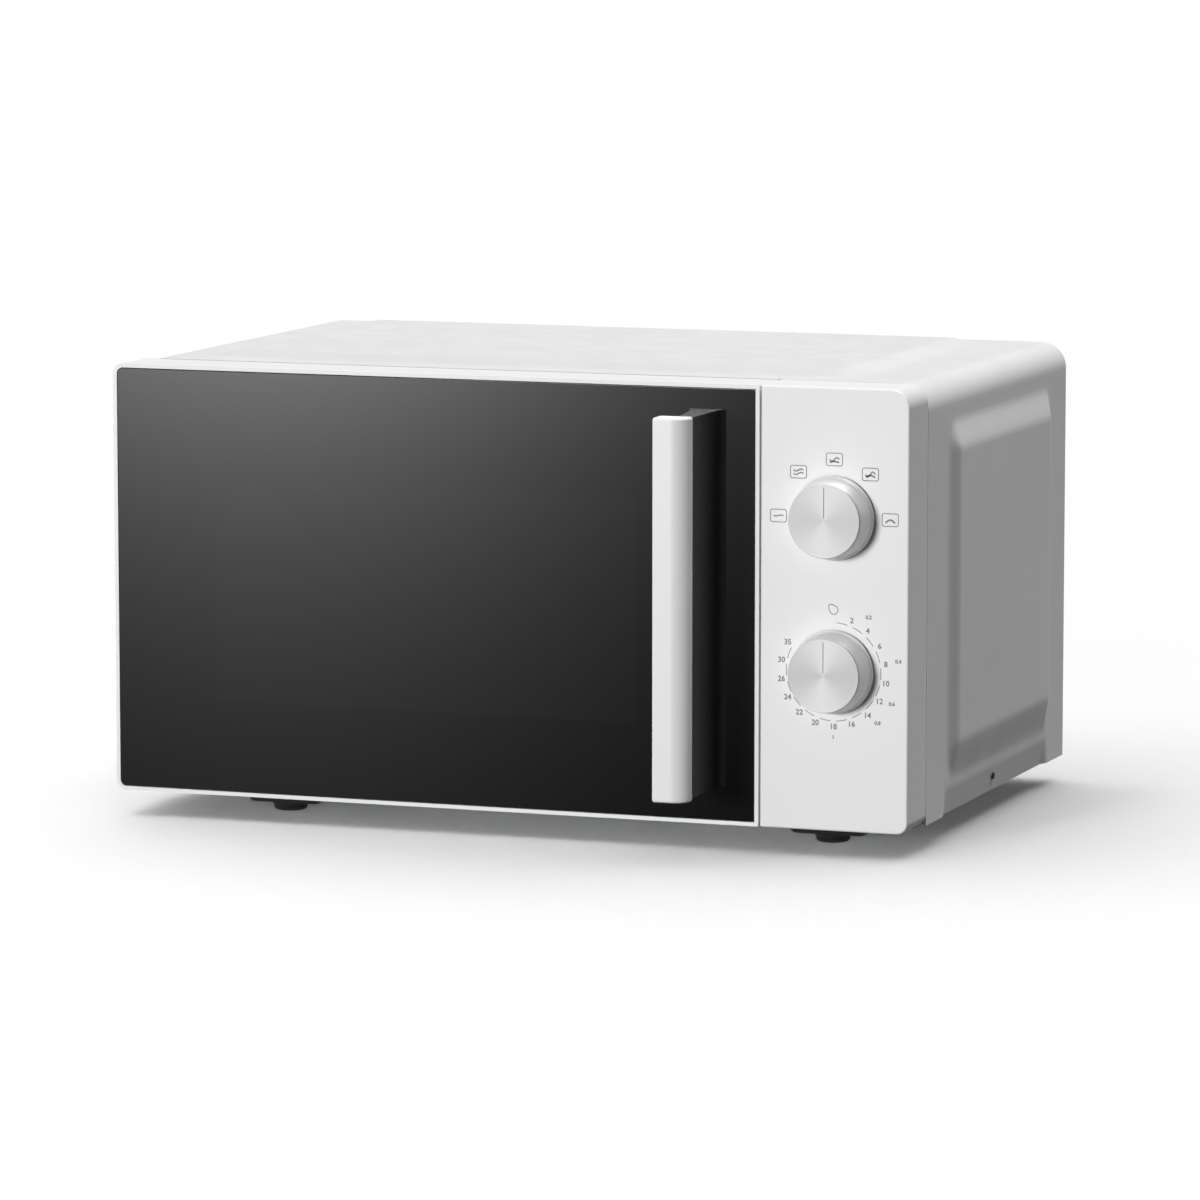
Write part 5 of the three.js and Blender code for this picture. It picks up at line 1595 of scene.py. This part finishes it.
class OVEN_OT_panel(Operator):
    """Build the control panel and its printed scales."""

    bl_idname = "oven.panel"
    bl_label = "Control panel"

    def execute(self, context):
        build_panel()
        build_marks()
        return {"FINISHED"}


class OVEN_OT_dials(Operator):
    """Build the power and timer dials."""

    bl_idname = "oven.dials"
    bl_label = "Dials"

    def execute(self, context):
        build_dial("power", "power_dial", "knob_body", "dial_silver")
        build_dial("timer", "timer_dial", "timer_body", "timer_metal")
        return {"FINISHED"}


class OVEN_OT_fasteners(Operator):
    """Scatter the screws and the dark discs of painted shade for the tray's vents."""

    bl_idname = "oven.fasteners"
    bl_label = "Fasteners"

    def execute(self, context):
        build_screws()
        build_tray_vents()
        return {"FINISHED"}


class OVEN_OT_inner_parts(Operator):
    """Coat every frame node that still shows, such as the electrical parts."""

    bl_idname = "oven.inner_parts"
    bl_label = "Inner parts"

    def execute(self, context):
        coat_frame_nodes()
        return {"FINISHED"}


class OVEN_OT_stage(Operator):
    """Build the floor, the lights, the reflection card and the camera."""

    bl_idname = "oven.stage"
    bl_label = "Studio"

    def execute(self, context):
        build_floor()
        build_card()
        build_lights()
        build_camera()
        context.scene.view_settings.view_transform = "Standard"
        return {"FINISHED"}


class OVEN_PT_sidebar(Panel):
    """Lists the oven's sizes and the steps that build it."""

    bl_idname = "OVEN_PT_sidebar"
    bl_label = "Microwave oven"
    bl_space_type = "VIEW_3D"
    bl_region_type = "UI"
    bl_category = "Oven"

    def draw(self, context):
        for group in GROUPS:
            box = self.layout.box()
            holder = getattr(context.scene, group)
            for name in holder.bl_rna.properties.keys():
                if name not in ("rna_type", "name"):
                    box.prop(holder, name)
        for step in OPERATORS:
            self.layout.operator(step.bl_idname)


GROUPS = {
    "oven_cabinet": CabinetSizes,
    "oven_door": DoorSizes,
    "oven_dials": DialSizes,
    "oven_studio": StudioSizes,
}
OPERATORS = (
    OVEN_OT_finishes,
    OVEN_OT_cabinet,
    OVEN_OT_cavity,
    OVEN_OT_turntable,
    OVEN_OT_door,
    OVEN_OT_handle,
    OVEN_OT_panel,
    OVEN_OT_dials,
    OVEN_OT_fasteners,
    OVEN_OT_inner_parts,
    OVEN_OT_stage,
)


def register():
    for made in (*GROUPS.values(), *OPERATORS, OVEN_PT_sidebar):
        bpy.utils.register_class(made)
    for name, group in GROUPS.items():
        setattr(bpy.types.Scene, name, PointerProperty(type=group))


def unregister():
    for name in GROUPS:
        delattr(bpy.types.Scene, name)
    for made in reversed((*GROUPS.values(), *OPERATORS, OVEN_PT_sidebar)):
        bpy.utils.unregister_class(made)


def corners(box):
    return [[float(value) for value in corner] for corner in box]


def main():
    register()
    bpy.ops.oven.finishes()
    bpy.ops.oven.cabinet()
    bpy.ops.oven.cavity()
    bpy.ops.oven.turntable()
    bpy.ops.oven.door()
    bpy.ops.oven.handle()
    bpy.ops.oven.panel()
    bpy.ops.oven.dials()
    bpy.ops.oven.fasteners()
    bpy.ops.oven.inner_parts()
    bpy.ops.oven.stage()
    {"cad_box": corners(CAD_BOX), "visual_box": corners(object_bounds())}


if __name__ == "__main__":
    main()
